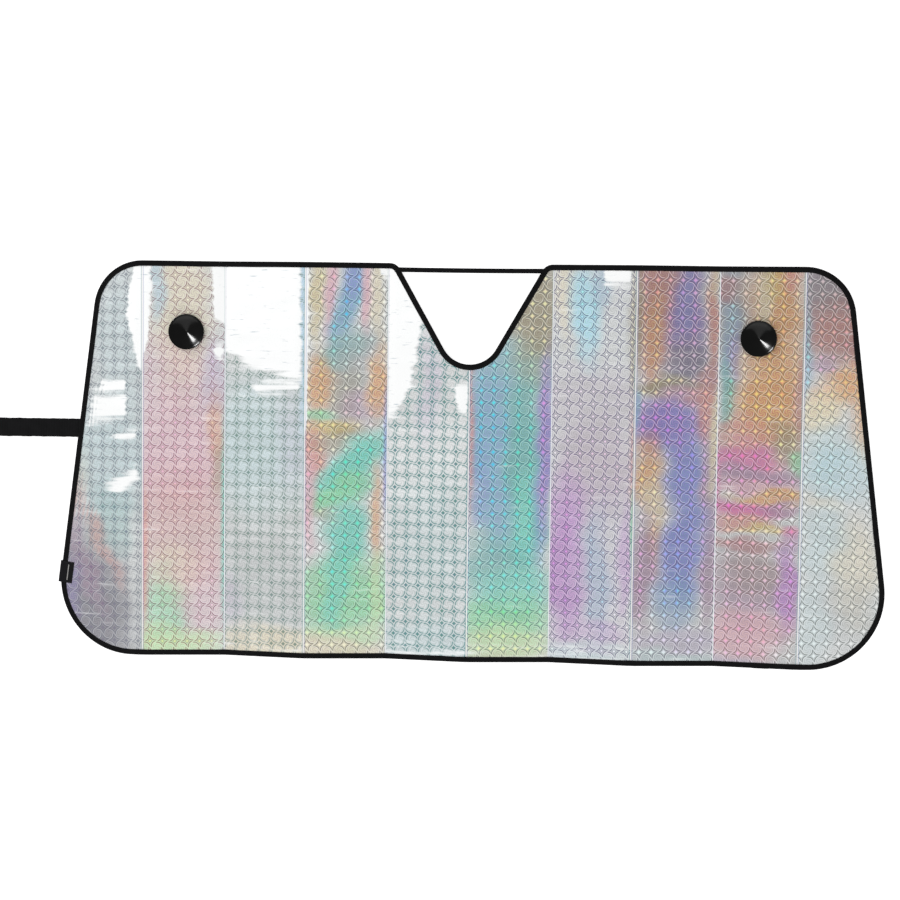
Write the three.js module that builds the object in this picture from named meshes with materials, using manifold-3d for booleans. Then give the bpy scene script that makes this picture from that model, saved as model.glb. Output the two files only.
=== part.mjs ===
// Folding windscreen sunshade, lying open with its film side up. Millimetres, +Z up, +Y towards the
// top edge. Every piece that follows the folds is drawn flat and is then creased along the same lines.
import * as THREE from 'three';
import * as BufferGeometryUtils from 'three/addons/utils/BufferGeometryUtils.js';
import Module from 'manifold-3d';

// Outline over the binding. The widths are taken where the straight edges would meet.
const topWidth = 1180;
const bottomWidth = 1344;
const shadeHeight = 630;
const topCornerRadius = 80;
const bottomCornerRadius = 118;

// Notch for the rear-view mirror's stalk, in the middle of the top edge
const notchDepth = 158;
const notchHalfAngle = 29.7;
const notchRootRadius = 47;
const notchMouthRadius = 19;

// Laminate and its folds: the creases are pressed thin, and odd ones stand up
const laminateThickness = 3;
const pressedThickness = 1.4;
const panelCount = 10;
const panelPitch = 130;
const foldHeight = 16;
const ridgeBandWidth = 12;
const valleyBandWidth = 4;

// Binding tape, folded round the whole edge
const tapeThickness = 0.9;
const tapeWidth = 8.8;
const clearance = 0.3;

// Suction cups, one near each top corner, held by a mushroom head behind the laminate
const cupInset = 4.5;
const cupBelowTop = 112;
const cupRadius = 28;
const cupHeight = 12;
const cupDepth = 9;
const cupRimWidth = 1.4;
const cupPadRadius = 9.5;
const neckRadius = 4;
const neckClearance = 0.6;
const headRadius = 9;
const headHeight = 4;
const dimpleRadius = 1.6;
const dimpleDepth = 0.7;

// Taut tape across the mouth of the notch
const notchStrapWidth = 7.5;
const notchStrapThickness = 0.9;
const notchStrapBelowTop = 10.5;
const notchStrapOverlap = 9;

// Elastic loop that holds the folded shade shut, sewn behind the left edge
const elasticWidth = 30;
const elasticThickness = 1.2;
const elasticReach = 150;
const elasticAboveMiddle = 47;
const elasticSewnLength = 8;
const elasticLandingLength = 14;
const elasticBendRadius = 5.6;

// Label folded round the left edge
const labelLength = 35;
const labelThickness = 0.8;
const labelReach = 20;
const labelBulge = 3;
const labelHemMargin = 2.5;
const labelRampLength = 3;
const labelAboveBottom = 131;

// Facets
const outlineFacetLength = 10;
const roundFacets = 40;
const outerBendFacets = 4;
const innerBendFacets = 2;
const labelBendFacets = 8;
const hollowFacets = 6;

const wasm = await Module();
wasm.setup();

const halfHeight = shadeHeight / 2;
const laminateHalf = laminateThickness / 2;
const hemHalf = laminateHalf + clearance + tapeThickness;
const vec = (x, y) => new THREE.Vector2(x, y);

// The outline, counter-clockwise

const notchAngle = THREE.MathUtils.degToRad(notchHalfAngle);
const notchApexY = halfHeight - notchDepth - notchRootRadius * (1 / Math.sin(notchAngle) - 1);
const notchMouthX = (halfHeight - notchApexY) * Math.tan(notchAngle);

const outlineCorners = [
  { at: vec(-bottomWidth / 2, -halfHeight), radius: bottomCornerRadius },
  { at: vec(bottomWidth / 2, -halfHeight), radius: bottomCornerRadius },
  { at: vec(topWidth / 2, halfHeight), radius: topCornerRadius },
  { at: vec(notchMouthX, halfHeight), radius: notchMouthRadius },
  { at: vec(0, notchApexY), radius: notchRootRadius },
  { at: vec(-notchMouthX, halfHeight), radius: notchMouthRadius },
  { at: vec(-topWidth / 2, halfHeight), radius: topCornerRadius },
];

// Points of the rounded outline, moved inwards by inset. An arc keeps its centre, and only its radius
// changes, so every inset gives the same number of points.
function outlinePoints(inset) {
  return outlineCorners.flatMap(({ at, radius }, i) => {
    const before = outlineCorners.at(i - 1).at;
    const after = outlineCorners[(i + 1) % outlineCorners.length].at;
    const incoming = at.clone().sub(before).normalize();
    const outgoing = after.clone().sub(at).normalize();
    const turn = Math.atan2(incoming.cross(outgoing), incoming.dot(outgoing));
    const side = Math.sign(turn);
    const leftNormals = vec(-incoming.y - outgoing.y, incoming.x + outgoing.x);
    const centre = at.clone().addScaledVector(leftNormals, (side * radius) / (1 + incoming.dot(outgoing)));
    const startAngle = vec(side * incoming.y, -side * incoming.x).angle();
    const steps = Math.ceil((Math.abs(turn) * radius) / outlineFacetLength);
    return Array.from({ length: steps + 1 }, (_, step) => {
      const angle = startAngle + (turn * step) / steps;
      const reach = radius - side * inset;
      return vec(centre.x + reach * Math.cos(angle), centre.y + reach * Math.sin(angle));
    });
  });
}

const halfWidest = Math.max(...outlinePoints(0).map((point) => point.x));
const leftSideX = (y) => -(topWidth + ((bottomWidth - topWidth) * (halfHeight - y)) / shadeHeight) / 2;
const leftSideLean = Math.atan((bottomWidth - topWidth) / 2 / shadeHeight);

// The folds

const creases = Array.from({ length: panelCount - 1 }, (_, i) => {
  const isRidge = i % 2 === 0;
  return {
    x: (i + 1 - panelCount / 2) * panelPitch,
    width: isRidge ? ridgeBandWidth : valleyBandWidth,
    level: isRidge ? foldHeight : 0,
  };
});

// The label lies under the left edge and lifts it a little.
const foldPoints = [
  vec(-halfWidest, labelThickness + clearance),
  ...creases.flatMap(({ x, width, level }) => [vec(x - width / 2, level), vec(x + width / 2, level)]),
  vec(halfWidest, 0),
];

function foldStretch(x) {
  const end = foldPoints.findIndex((point, i) => i > 0 && x <= point.x);
  return end < 0 ? foldPoints.slice(-2) : foldPoints.slice(end - 1, end + 1);
}

// Height of the laminate's middle at x
function foldLevel(x) {
  const [from, to] = foldStretch(x);
  const share = THREE.MathUtils.clamp((x - from.x) / (to.x - from.x), 0, 1);
  return THREE.MathUtils.lerp(from.y, to.y, share);
}

function foldSlope(x) {
  const [from, to] = foldStretch(x);
  return (to.y - from.y) / (to.x - from.x);
}

// Splits the triangles that cross the plane at the given x, so that the surface can bend there.
function splitTriangles(triangles, x) {
  const onPlane = 1e-4;
  return triangles.flatMap((corners) => {
    const sides = corners.map((corner) => (Math.abs(corner.x - x) < onPlane ? 0 : Math.sign(corner.x - x)));
    if (!sides.includes(1) || !sides.includes(-1)) return [corners];
    const lone = sides.findIndex((side) => side !== 0 && sides.filter((other) => other === side).length === 1);
    const [a, b, c] = [0, 1, 2].map((step) => corners[(lone + step) % 3]);
    const cut = (from, to) => from.clone().lerp(to, (x - from.x) / (to.x - from.x));
    const [sideB, sideC] = [sides[(lone + 1) % 3], sides[(lone + 2) % 3]];
    if (sideB === 0) return [[a, b, cut(a, c)], [cut(a, c), b, c]];
    if (sideC === 0) return [[a, cut(a, b), c], [cut(a, b), b, c]];
    const [ab, ac] = [cut(a, b), cut(a, c)];
    return [[a, ab, ac], [ab, b, c], [ab, c, ac]];
  });
}

// Creases a flat piece along every fold line and lifts it to the folded shape.
function foldUp(flat) {
  const position = (flat.index ? flat.toNonIndexed() : flat).getAttribute('position');
  let triangles = [];
  for (let first = 0; first < position.count; first += 3) {
    triangles.push([0, 1, 2].map((i) => new THREE.Vector3().fromBufferAttribute(position, first + i)));
  }
  for (const { x } of foldPoints) triangles = splitTriangles(triangles, x);
  const corners = triangles.flat().map((corner) => corner.clone().setZ(corner.z + foldLevel(corner.x)));
  return new THREE.BufferGeometry().setFromPoints(corners);
}

// Closed meshes to solids, and back

function mergedPositions(geometry) {
  const bare = geometry.clone();
  bare.deleteAttribute('normal');
  bare.deleteAttribute('uv');
  return BufferGeometryUtils.mergeVertices(bare, 1e-4);
}

function toSolid(geometry) {
  const merged = mergedPositions(geometry);
  return new wasm.Manifold(new wasm.Mesh({
    numProp: 3,
    vertProperties: new Float32Array(merged.getAttribute('position').array),
    triVerts: new Uint32Array(merged.index.array),
  }));
}

function toGeometry(solid) {
  const mesh = solid.getMesh();
  const geometry = new THREE.BufferGeometry();
  geometry.setAttribute('position', new THREE.BufferAttribute(mesh.vertProperties, 3));
  geometry.setIndex(new THREE.BufferAttribute(mesh.triVerts, 1));
  return geometry;
}

// Extrusions

// A prism on the XY plane, centred on it
function plate(shape, thickness) {
  const geometry = new THREE.ExtrudeGeometry(shape, { depth: thickness, bevelEnabled: false });
  return geometry.translate(0, 0, -thickness / 2);
}

// A section drawn in X and Z, extruded along Y and centred on y
function alongY(shape, length, y) {
  return plate(shape, length).rotateX(Math.PI / 2).translate(0, y, 0);
}

// The laminate, with a hole for each cup's neck and a thin pressed band along each crease

const cupX = (panelCount / 2 - 1.5) * panelPitch - cupInset;
const cupY = halfHeight - cupBelowTop;

function laminateGeometry() {
  const shape = new THREE.Shape(outlinePoints(hemHalf));
  for (const x of [-cupX, cupX]) {
    shape.holes.push(new THREE.Path().absarc(x, cupY, neckRadius + neckClearance, 0, 2 * Math.PI));
  }
  let laminate = toSolid(plate(shape, laminateThickness));
  const bandOffset = (pressedThickness + laminateThickness) / 2;
  for (const { x, width } of creases) {
    for (const face of [-1, 1]) {
      const band = new THREE.BoxGeometry(width, 2 * shadeHeight, laminateThickness);
      laminate = laminate.subtract(toSolid(band.translate(x, 0, face * bandOffset)));
    }
  }
  return foldUp(toGeometry(laminate));
}

// The binding: rings of the outline, one for each corner of the tape's U section, joined into a tube

// Corners of the U section, as the distance in from the edge and the height
function bindingSection() {
  const bend = (radius, from, to, facets) => Array.from({ length: facets + 1 }, (_, step) => {
    const angle = THREE.MathUtils.lerp(from, to, step / facets);
    return vec(hemHalf - radius * Math.cos(angle), radius * Math.sin(angle));
  });
  const innerHalf = hemHalf - tapeThickness;
  return [
    vec(tapeWidth, hemHalf),
    ...bend(hemHalf, Math.PI / 2, -Math.PI / 2, outerBendFacets),
    vec(tapeWidth, -hemHalf),
    vec(tapeWidth, -innerHalf),
    ...bend(innerHalf, -Math.PI / 2, Math.PI / 2, innerBendFacets),
    vec(tapeWidth, innerHalf),
  ];
}

function bindingGeometry() {
  const rings = bindingSection().map(({ x: inset, y: height }) =>
    outlinePoints(inset).map((point) => new THREE.Vector3(point.x, point.y, height)));
  const corners = rings.flatMap((ring, i) => {
    const nextRing = rings[(i + 1) % rings.length];
    return ring.flatMap((here, j) => {
      const ahead = (j + 1) % ring.length;
      return [here, nextRing[j], ring[ahead], nextRing[j], nextRing[ahead], ring[ahead]];
    });
  });
  return foldUp(new THREE.BufferGeometry().setFromPoints(corners));
}

// A suction cup, turned about its own axis. Height 0 is the middle of the laminate.

function cupGeometry() {
  const seat = laminateHalf + clearance;
  const rimTop = seat + cupHeight;
  const hollowRadius = cupRadius - cupRimWidth;
  const hollowFloor = rimTop - cupDepth;
  const hollow = Array.from({ length: hollowFacets }, (_, step) => {
    const share = 1 - step / hollowFacets;
    return vec(THREE.MathUtils.lerp(dimpleRadius, hollowRadius, share), hollowFloor + cupDepth * share ** 1.25);
  });
  const edgeRound = headHeight / 4;
  const profile = [
    vec(0, -seat - headHeight),
    vec(headRadius - 2 * edgeRound, -seat - headHeight),
    vec(headRadius - edgeRound / 2, -seat - headHeight + edgeRound / 2),
    vec(headRadius, -seat - headHeight + 2 * edgeRound),
    vec(headRadius - edgeRound / 2, -seat - edgeRound / 2),
    vec(headRadius - edgeRound, -seat),
    vec(neckRadius, -seat),
    vec(neckRadius, seat),
    vec(cupPadRadius, seat),
    vec(cupPadRadius + cupRimWidth, seat + cupRimWidth),
    vec((cupPadRadius + cupRadius) / 2, seat + cupHeight * 0.42),
    vec(cupRadius - cupRimWidth / 2, rimTop - cupRimWidth),
    vec(cupRadius, rimTop - cupRimWidth / 2),
    vec(cupRadius - cupRimWidth / 4, rimTop),
    ...hollow,
    vec(dimpleRadius, hollowFloor),
    vec(0, hollowFloor - dimpleDepth),
  ];
  return new THREE.LatheGeometry(profile, roundFacets).rotateX(Math.PI / 2);
}

// The strap across the notch: straight between the binding's edges, its ends on the binding's face

function notchStrapGeometry() {
  const y = halfHeight - notchStrapBelowTop;
  const edgeX = notchMouthX - notchStrapBelowTop * Math.tan(notchAngle);
  const path = [-edgeX - notchStrapOverlap, -edgeX, edgeX, edgeX + notchStrapOverlap]
    .map((x) => vec(x, foldLevel(x) + hemHalf + clearance));
  const top = path.map((point) => vec(point.x, point.y + notchStrapThickness));
  return alongY(new THREE.Shape([...path, ...top.reverse()]), notchStrapWidth, y);
}

// The elastic loop. Its two ends are sewn together under the binding and come down to the floor just
// past the edge. The lower run lies on the floor, and the far end stands open where the elastic bends.

const elasticEdgeX = leftSideX(elasticAboveMiddle + elasticWidth / 2);
const elasticFarX = elasticEdgeX - elasticReach;

function elasticGeometry() {
  const floor = -hemHalf;
  const sewnX = leftSideX(elasticAboveMiddle) + elasticSewnLength;
  const landingX = elasticEdgeX - elasticLandingLength;
  const underHem = (x) => foldLevel(x) - hemHalf - clearance;
  const bend = (path, radius) => {
    const centre = vec(elasticFarX + elasticBendRadius, floor + elasticBendRadius);
    path.lineTo(centre.x, centre.y + radius);
    return path.absarc(centre.x, centre.y, radius, Math.PI / 2, 1.5 * Math.PI);
  };
  const outer = new THREE.Shape();
  outer.moveTo(sewnX, underHem(sewnX));
  outer.lineTo(elasticEdgeX, underHem(elasticEdgeX));
  outer.lineTo(landingX, floor + 2 * elasticThickness);
  bend(outer, elasticBendRadius);
  outer.lineTo(landingX, floor);
  outer.lineTo(elasticEdgeX, underHem(elasticEdgeX) - 2 * elasticThickness);
  outer.lineTo(sewnX, underHem(sewnX) - 2 * elasticThickness);
  const inside = new THREE.Path().moveTo(landingX, floor + elasticThickness);
  outer.holes.push(bend(inside, elasticBendRadius - elasticThickness));
  return alongY(outer, elasticWidth, elasticAboveMiddle);
}

// The label, folded round the binding and sewn down on both faces

function labelGeometry() {
  // One face of the label, from its front end round the edge to its back end
  const face = (offset) => {
    const onFilm = laminateHalf + clearance + offset;
    const onHem = hemHalf + clearance + offset;
    const stepDown = tapeWidth + labelHemMargin;
    const frontLeg = [
      vec(labelReach, onFilm),
      vec(stepDown + labelRampLength, onFilm),
      vec(stepDown, onHem),
    ];
    const reach = labelBulge - labelThickness + offset;
    const bend = Array.from({ length: labelBendFacets + 1 }, (_, step) => {
      const angle = (Math.PI * step) / labelBendFacets;
      return vec(-reach * Math.sin(angle), onHem * Math.cos(angle));
    });
    const backLeg = frontLeg.map((point) => vec(point.x, -point.y)).reverse();
    return [...frontLeg, ...bend, ...backLeg];
  };
  const section = new THREE.Shape([...face(labelThickness), ...face(0).reverse()]);
  const strip = alongY(section, labelLength, 0).rotateZ(-leftSideLean);
  const middleY = labelAboveBottom - halfHeight;
  return foldUp(strip.translate(leftSideX(middleY), middleY, 0));
}

// The assembly

const film = new THREE.MeshStandardMaterial({ color: '#c9ccd2', roughness: 0.25, metalness: 0.9 });
const binding = new THREE.MeshStandardMaterial({ color: '#1b1b1c', roughness: 0.85, metalness: 0 });
const elastic = new THREE.MeshStandardMaterial({ color: '#141414', roughness: 0.9, metalness: 0 });
const vinyl = new THREE.MeshStandardMaterial({ color: '#0c0c0d', roughness: 0.15, metalness: 0 });
const label = new THREE.MeshStandardMaterial({ color: '#0f0f10', roughness: 0.8, metalness: 0 });

const shade = new THREE.Group();

function addPiece(name, geometry, material) {
  const merged = mergedPositions(geometry);
  merged.computeVertexNormals();
  const mesh = new THREE.Mesh(merged, material);
  mesh.name = name;
  shade.add(mesh);
  return mesh;
}

addPiece('shade_panel', laminateGeometry(), film);
addPiece('edge_binding', bindingGeometry(), binding);
addPiece('notch_strap', notchStrapGeometry(), binding);
addPiece('storage_elastic', elasticGeometry(), elastic);
addPiece('edge_label', labelGeometry(), label);
for (const [side, x] of [['left', -cupX], ['right', cupX]]) {
  const cup = addPiece(`suction_cup_${side}`, cupGeometry(), vinyl);
  cup.position.set(x, cupY, foldLevel(x));
  cup.rotation.y = -Math.atan(foldSlope(x));
}

// The origin is on the floor, under the middle of the shade with its elastic laid out.
shade.position.set(-(elasticFarX + halfWidest) / 2, 0, hemHalf);

export default shade;
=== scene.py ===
"""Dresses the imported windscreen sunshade: film, binding, stitches, straps, label, cups and stage."""

import math

import bpy
import numpy as np
from bpy.props import FloatProperty, FloatVectorProperty, IntProperty, PointerProperty
from mathutils import Matrix, Vector, noise


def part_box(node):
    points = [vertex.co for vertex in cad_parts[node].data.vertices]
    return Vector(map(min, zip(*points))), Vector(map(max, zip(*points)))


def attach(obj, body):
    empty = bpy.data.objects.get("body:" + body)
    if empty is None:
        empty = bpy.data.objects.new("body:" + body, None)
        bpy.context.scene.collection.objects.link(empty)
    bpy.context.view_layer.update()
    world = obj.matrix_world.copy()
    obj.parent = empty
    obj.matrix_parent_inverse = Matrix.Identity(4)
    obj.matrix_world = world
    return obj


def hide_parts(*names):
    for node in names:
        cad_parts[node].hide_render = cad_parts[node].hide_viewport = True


bl_info = {
    "name": "Windscreen Sunshade",
    "version": (1, 0, 0),
    "blender": (4, 5, 0),
    "location": "View3D > Sidebar > Sunshade",
    "description": "Builds the visible pieces of a folding windscreen sunshade around its CAD frame",
    "category": "Object",
}

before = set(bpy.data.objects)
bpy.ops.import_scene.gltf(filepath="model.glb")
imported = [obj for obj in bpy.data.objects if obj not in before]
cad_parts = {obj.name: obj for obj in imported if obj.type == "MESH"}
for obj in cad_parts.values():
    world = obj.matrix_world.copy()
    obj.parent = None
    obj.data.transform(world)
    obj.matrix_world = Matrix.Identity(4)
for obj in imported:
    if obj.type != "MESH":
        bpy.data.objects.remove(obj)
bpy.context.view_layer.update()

MM = 0.001
PANEL_COUNT = 10
EDGE_STEP = 4 * MM
CUPS_COLLECTION = "lit_cups"

# The sheet's own frame: its middle is x = 0, and z = 0 is the middle of the laminate at a valley.
LAMINATE_THICKNESS = 3 * MM
PANEL_LOW, PANEL_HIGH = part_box("shade_panel")
SHEET_MIDDLE_X = (PANEL_LOW.x + PANEL_HIGH.x) / 2
SHEET_LEVEL = PANEL_LOW.z + LAMINATE_THICKNESS / 2
SHEET_PLACE = np.array([SHEET_MIDDLE_X, 0, SHEET_LEVEL])
HALF_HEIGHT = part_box("edge_binding")[1].y


# Sizes and colours


def length(name, description, default):
    """A length in metres that the user can change."""
    return FloatProperty(name=name, description=description, default=default, unit="LENGTH", precision=4)


def colour(name, description, default):
    """A colour, given as sRGB hex and kept linear."""
    return FloatVectorProperty(
        name=name, description=description, default=linear(default), subtype="COLOR", min=0, max=1
    )


def linear(hex_colour):
    """Turns an sRGB hex colour into the linear values that Blender works with."""
    levels = [int(hex_colour[i : i + 2], 16) / 255 for i in (1, 3, 5)]
    return tuple(c / 12.92 if c <= 0.04045 else ((c + 0.055) / 1.055) ** 2.4 for c in levels)


class SunshadeOutline(bpy.types.PropertyGroup):
    """The sheet's outline and folds, as in the CAD model"""

    top_width: length("Top width", "Between the sides, at the top edge", 1180 * MM)
    bottom_width: length("Bottom width", "Between the sides, at the bottom edge", 1344 * MM)
    top_corner: length("Top corner radius", "Rounding of the two top corners", 80 * MM)
    bottom_corner: length("Bottom corner radius", "Rounding of the two bottom corners", 118 * MM)
    notch_depth: length("Notch depth", "From the top edge to the root of the notch", 158 * MM)
    notch_angle: FloatProperty(
        name="Notch angle",
        description="Lean of each side of the notch",
        default=math.radians(29.7),
        subtype="ANGLE",
    )
    notch_root: length("Notch root radius", "Rounding at the root of the notch", 47 * MM)
    notch_mouth: length("Notch mouth radius", "Rounding where the notch meets the top edge", 19 * MM)
    panel_pitch: length("Panel pitch", "From one crease to the next", 130 * MM)
    fold_height: length("Fold height", "How far the ridges stand above the valleys", 16 * MM)
    ridge_band: length("Ridge band", "Width of the pressed band on a ridge", 12 * MM)
    valley_band: length("Valley band", "Width of the pressed band in a valley", 4 * MM)
    edge_lift: length("Edge lift", "How far the label under the left edge lifts it", 1.1 * MM)


class SunshadeFilm(bpy.types.PropertyGroup):
    """The laminated film"""

    column_step: length("Column step", "Mesh spacing across a panel", 6 * MM)
    row_count: IntProperty(name="Rows", description="Mesh rows from bottom to top", default=150, min=20)
    pressed: length("Pressed thickness", "Thickness of the laminate on a crease", 1.4 * MM)
    ripple: length("Ripple", "Height of the soft waves in the film", 0.35 * MM)
    swirl_pitch: length("Swirl pitch", "Spacing of the embossed circles", 19.5 * MM)
    back_colour: colour("Back colour", "Plain silver film behind", "#c6c9cc")


class SunshadeTape(bpy.types.PropertyGroup):
    """Binding tape, notch strap and thread"""

    thickness: length("Tape thickness", "Thickness of the woven tape", 0.9 * MM)
    width: length("Tape width", "How far the tape covers each face", 8.8 * MM)
    clearance: length("Clearance", "Gap between layers", 0.3 * MM)
    stitch_spacing: length("Stitch spacing", "From one stitch to the next", 3.4 * MM)
    stitch_length: length("Stitch length", "Thread showing on the face", 2.5 * MM)
    thread: length("Thread", "Thickness of the thread", 0.45 * MM)
    strap_width: length("Notch strap width", "Width of the strap across the notch", 7.5 * MM)
    strap_below_top: length("Notch strap inset", "From the top edge to the strap's middle", 10.5 * MM)
    seam_inset: length("Seam inset", "From the tape's inner edge to its seam", 2.2 * MM)
    weave_pitch: length("Weave pitch", "From one rib of the tape to the next", 1.6 * MM)
    tape_colour: colour("Tape colour", "Black polyester tape", "#0f0f10")
    thread_colour: colour("Thread colour", "Black sewing thread", "#202022")


class SunshadeLoop(bpy.types.PropertyGroup):
    """Closing elastic and label"""

    width: length("Elastic width", "Width of the closing elastic", 30 * MM)
    thickness: length("Elastic thickness", "Thickness of one layer", 1.1 * MM)
    above_middle: length("Elastic height", "From the sheet's middle up to the elastic's", 47 * MM)
    rib_pitch: length("Rib pitch", "From one woven rib to the next", 2.6 * MM)
    label_length: length("Label length", "Along the edge", 35 * MM)
    label_above_bottom: length("Label place", "From the bottom edge up to the label's middle", 131 * MM)
    elastic_colour: colour("Elastic colour", "Black woven elastic", "#131314")
    label_colour: colour("Label colour", "Black satin label", "#101013")
    stripe_colour: colour("Stripe colour", "Pale stripe woven into the label", "#a9a9a6")


class SunshadeCups(bpy.types.PropertyGroup):
    """Suction cups"""

    radius: length("Cup radius", "Radius over the rim", 28 * MM)
    height: length("Cup height", "From the film to the rim", 12 * MM)
    depth: length("Cup depth", "From the rim to the floor of the hollow", 9 * MM)
    rim: length("Rim width", "Width of the sealing rim", 1.4 * MM)
    inset: length("Cup inset", "From the panel's middle towards the sheet's middle", 4.5 * MM)
    below_top: length("Cup place", "From the top edge down to the cup's middle", 112 * MM)
    steps: IntProperty(name="Steps", description="Faces round a cup", default=96, min=24)
    vinyl_colour: colour("Vinyl colour", "Glossy black vinyl", "#030303")


class SunshadeStage(bpy.types.PropertyGroup):
    """Camera, light and floor"""

    focal: FloatProperty(name="Focal length", description="Camera lens", default=75.77, unit="CAMERA")
    camera_place: FloatVectorProperty(
        name="Camera place",
        description="In the sheet's frame",
        default=(0.1611, 0.2282, 2.9872),
        subtype="XYZ",
    )
    camera_turn: FloatVectorProperty(
        name="Camera turn",
        description="Turn of the world before the camera, about x, y and z",
        default=(0.0692606546, -0.0637743467, -0.0161325522),
        subtype="EULER",
    )
    world_level: FloatProperty(name="World level", description="Light from all round", default=0.6)
    floor_colour: colour("Floor colour", "Plain white floor", "#f7f7f7")


SETTINGS = {
    "sunshade_outline": SunshadeOutline,
    "sunshade_film": SunshadeFilm,
    "sunshade_tape": SunshadeTape,
    "sunshade_loop": SunshadeLoop,
    "sunshade_cups": SunshadeCups,
    "sunshade_stage": SunshadeStage,
}


def settings(*names):
    """The scene's groups of settings with these names."""
    return [getattr(bpy.context.scene, "sunshade_" + name) for name in names]


# Shape of the sheet


def creases(outline):
    """Each crease's place, the width of its pressed band and its level. Odd ones stand up."""
    found = []
    for number in range(1, PANEL_COUNT):
        ridge = number % 2 == 1
        band = outline.ridge_band if ridge else outline.valley_band
        level = outline.fold_height if ridge else 0
        found.append(((number - PANEL_COUNT / 2) * outline.panel_pitch, band, level))
    return found


def fold_points(outline):
    """The folded section's corners: (x, level of the laminate's middle)."""
    beyond_edge = 1.05 * (outline.bottom_width + outline.top_width) / 4
    points = [(-beyond_edge, outline.edge_lift)]
    for x, band, level in creases(outline):
        points += [(x - band / 2, level), (x + band / 2, level)]
    return points + [(beyond_edge, 0)]


def fold_level(outline, x):
    """Level of the laminate's middle at x, for a number or an array."""
    xs, levels = zip(*fold_points(outline))
    return np.interp(x, xs, levels)


def hem_level(tape):
    """Height of the tape's outer face above the middle of the laminate."""
    return LAMINATE_THICKNESS / 2 + tape.clearance + tape.thickness


def left_edge_x(outline, y):
    """Where the sheet's left edge lies at the height y."""
    share_down = (HALF_HEIGHT - y) / (2 * HALF_HEIGHT)
    return -(outline.top_width + (outline.bottom_width - outline.top_width) * share_down) / 2


def outline_corners(outline):
    """Corners of the sheet, counter-clockwise, each with its rounding."""
    rounded_off = outline.notch_root * (1 / math.sin(outline.notch_angle) - 1)
    apex_y = HALF_HEIGHT - outline.notch_depth - rounded_off
    mouth_x = (HALF_HEIGHT - apex_y) * math.tan(outline.notch_angle)
    half_bottom, half_top = outline.bottom_width / 2, outline.top_width / 2
    return [
        (-half_bottom, -HALF_HEIGHT, outline.bottom_corner),
        (half_bottom, -HALF_HEIGHT, outline.bottom_corner),
        (half_top, HALF_HEIGHT, outline.top_corner),
        (mouth_x, HALF_HEIGHT, outline.notch_mouth),
        (0, apex_y, outline.notch_root),
        (-mouth_x, HALF_HEIGHT, outline.notch_mouth),
        (-half_top, HALF_HEIGHT, outline.top_corner),
    ]


def outline_path(outline):
    """Points on the outer edge, and at each the direction into the sheet, about a step apart."""
    corners = [(Vector((x, y)), radius) for x, y, radius in outline_corners(outline)]
    points, inward = [], []
    for i, (at, radius) in enumerate(corners):
        incoming = (at - corners[i - 1][0]).normalized()
        outgoing = (corners[(i + 1) % len(corners)][0] - at).normalized()
        turn = math.atan2(incoming.cross(outgoing), incoming.dot(outgoing))
        side = math.copysign(1, turn)
        normals = Vector((-incoming.y - outgoing.y, incoming.x + outgoing.x))
        centre = at + normals * side * radius / (1 + incoming.dot(outgoing))
        start = math.atan2(-side * incoming.x, side * incoming.y)
        steps = max(6, math.ceil(abs(turn) * radius / EDGE_STEP))
        for j in range(steps + 1):
            angle = start + turn * j / steps
            out = Vector((math.cos(angle), math.sin(angle)))
            points.append(centre + out * radius)
            inward.append(out * -side)
    return fill_straights(outline, points, inward)


def fill_straights(outline, points, inward):
    """Adds points on the straight runs, one of them on every fold line."""
    fold_lines = [x for x, _ in fold_points(outline)[1:-1]]
    path, normals = [], []
    for i, (here, normal) in enumerate(zip(points, inward)):
        ahead = points[(i + 1) % len(points)]
        run = ahead - here
        shares = {0.0}
        if run.length > 1.5 * EDGE_STEP:
            count = math.ceil(run.length / EDGE_STEP)
            shares |= {j / count for j in range(count)}
            if abs(run.x) > EDGE_STEP:
                crossings = {(x - here.x) / run.x for x in fold_lines}
                shares |= {share for share in crossings if 0 < share < 1}
        for share in sorted(shares):
            path.append(here + run * share)
            normals.append(normal)
    return np.array(path), np.array(normals)


def edges_at(path, xs):
    """The lowest and the highest y of a closed outline at each x."""
    ahead = np.roll(path, -1, axis=0)
    low, high = [], []
    for x in xs:
        crosses = np.minimum(path[:, 0], ahead[:, 0]) <= x
        crosses &= np.maximum(path[:, 0], ahead[:, 0]) >= x
        start, end = path[crosses], ahead[crosses]
        run = end[:, 0] - start[:, 0]
        share = np.divide(x - start[:, 0], run, out=np.zeros_like(run), where=np.abs(run) > 1e-9)
        ys = start[:, 1] + share * (end[:, 1] - start[:, 1])
        low.append(ys.min())
        high.append(ys.max())
    return np.array(low), np.array(high)


def smooth_step(value):
    """Eases a share from 0 to 1."""
    share = np.clip(value, 0, 1)
    return share * share * (3 - 2 * share)


def soft_noise(xs, ys, seed, scale_x, scale_y):
    """Smooth noise, mostly between -1 and 1, over arrays of places, with the given grain sizes."""
    flat = zip(np.ravel(xs) / scale_x, np.ravel(ys) / scale_y)
    # Each seed reads another layer of the noise, which mostly stays within 0.5 either way.
    values = [noise.noise(Vector((x, y, seed * 7.31))) for x, y in flat]
    return np.array(values).reshape(np.shape(xs)) * 1.8


# Meshes and materials


def new_piece(name, points, faces, materials=(), edges=()):
    """Links a new mesh object whose points are given in the sheet's frame."""
    mesh = bpy.data.meshes.new(name)
    mesh.from_pydata((np.asarray(points) + SHEET_PLACE).tolist(), edges, faces)
    for material in materials:
        mesh.materials.append(material)
    mesh.polygons.foreach_set("use_smooth", [True] * len(mesh.polygons))
    mesh.update()
    piece = bpy.data.objects.new(name, mesh)
    bpy.context.scene.collection.objects.link(piece)
    return piece


def stand_in(piece, node):
    """Puts the piece on the sheet's body, in place of its CAD node."""
    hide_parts(node)
    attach(piece, "root")


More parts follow.
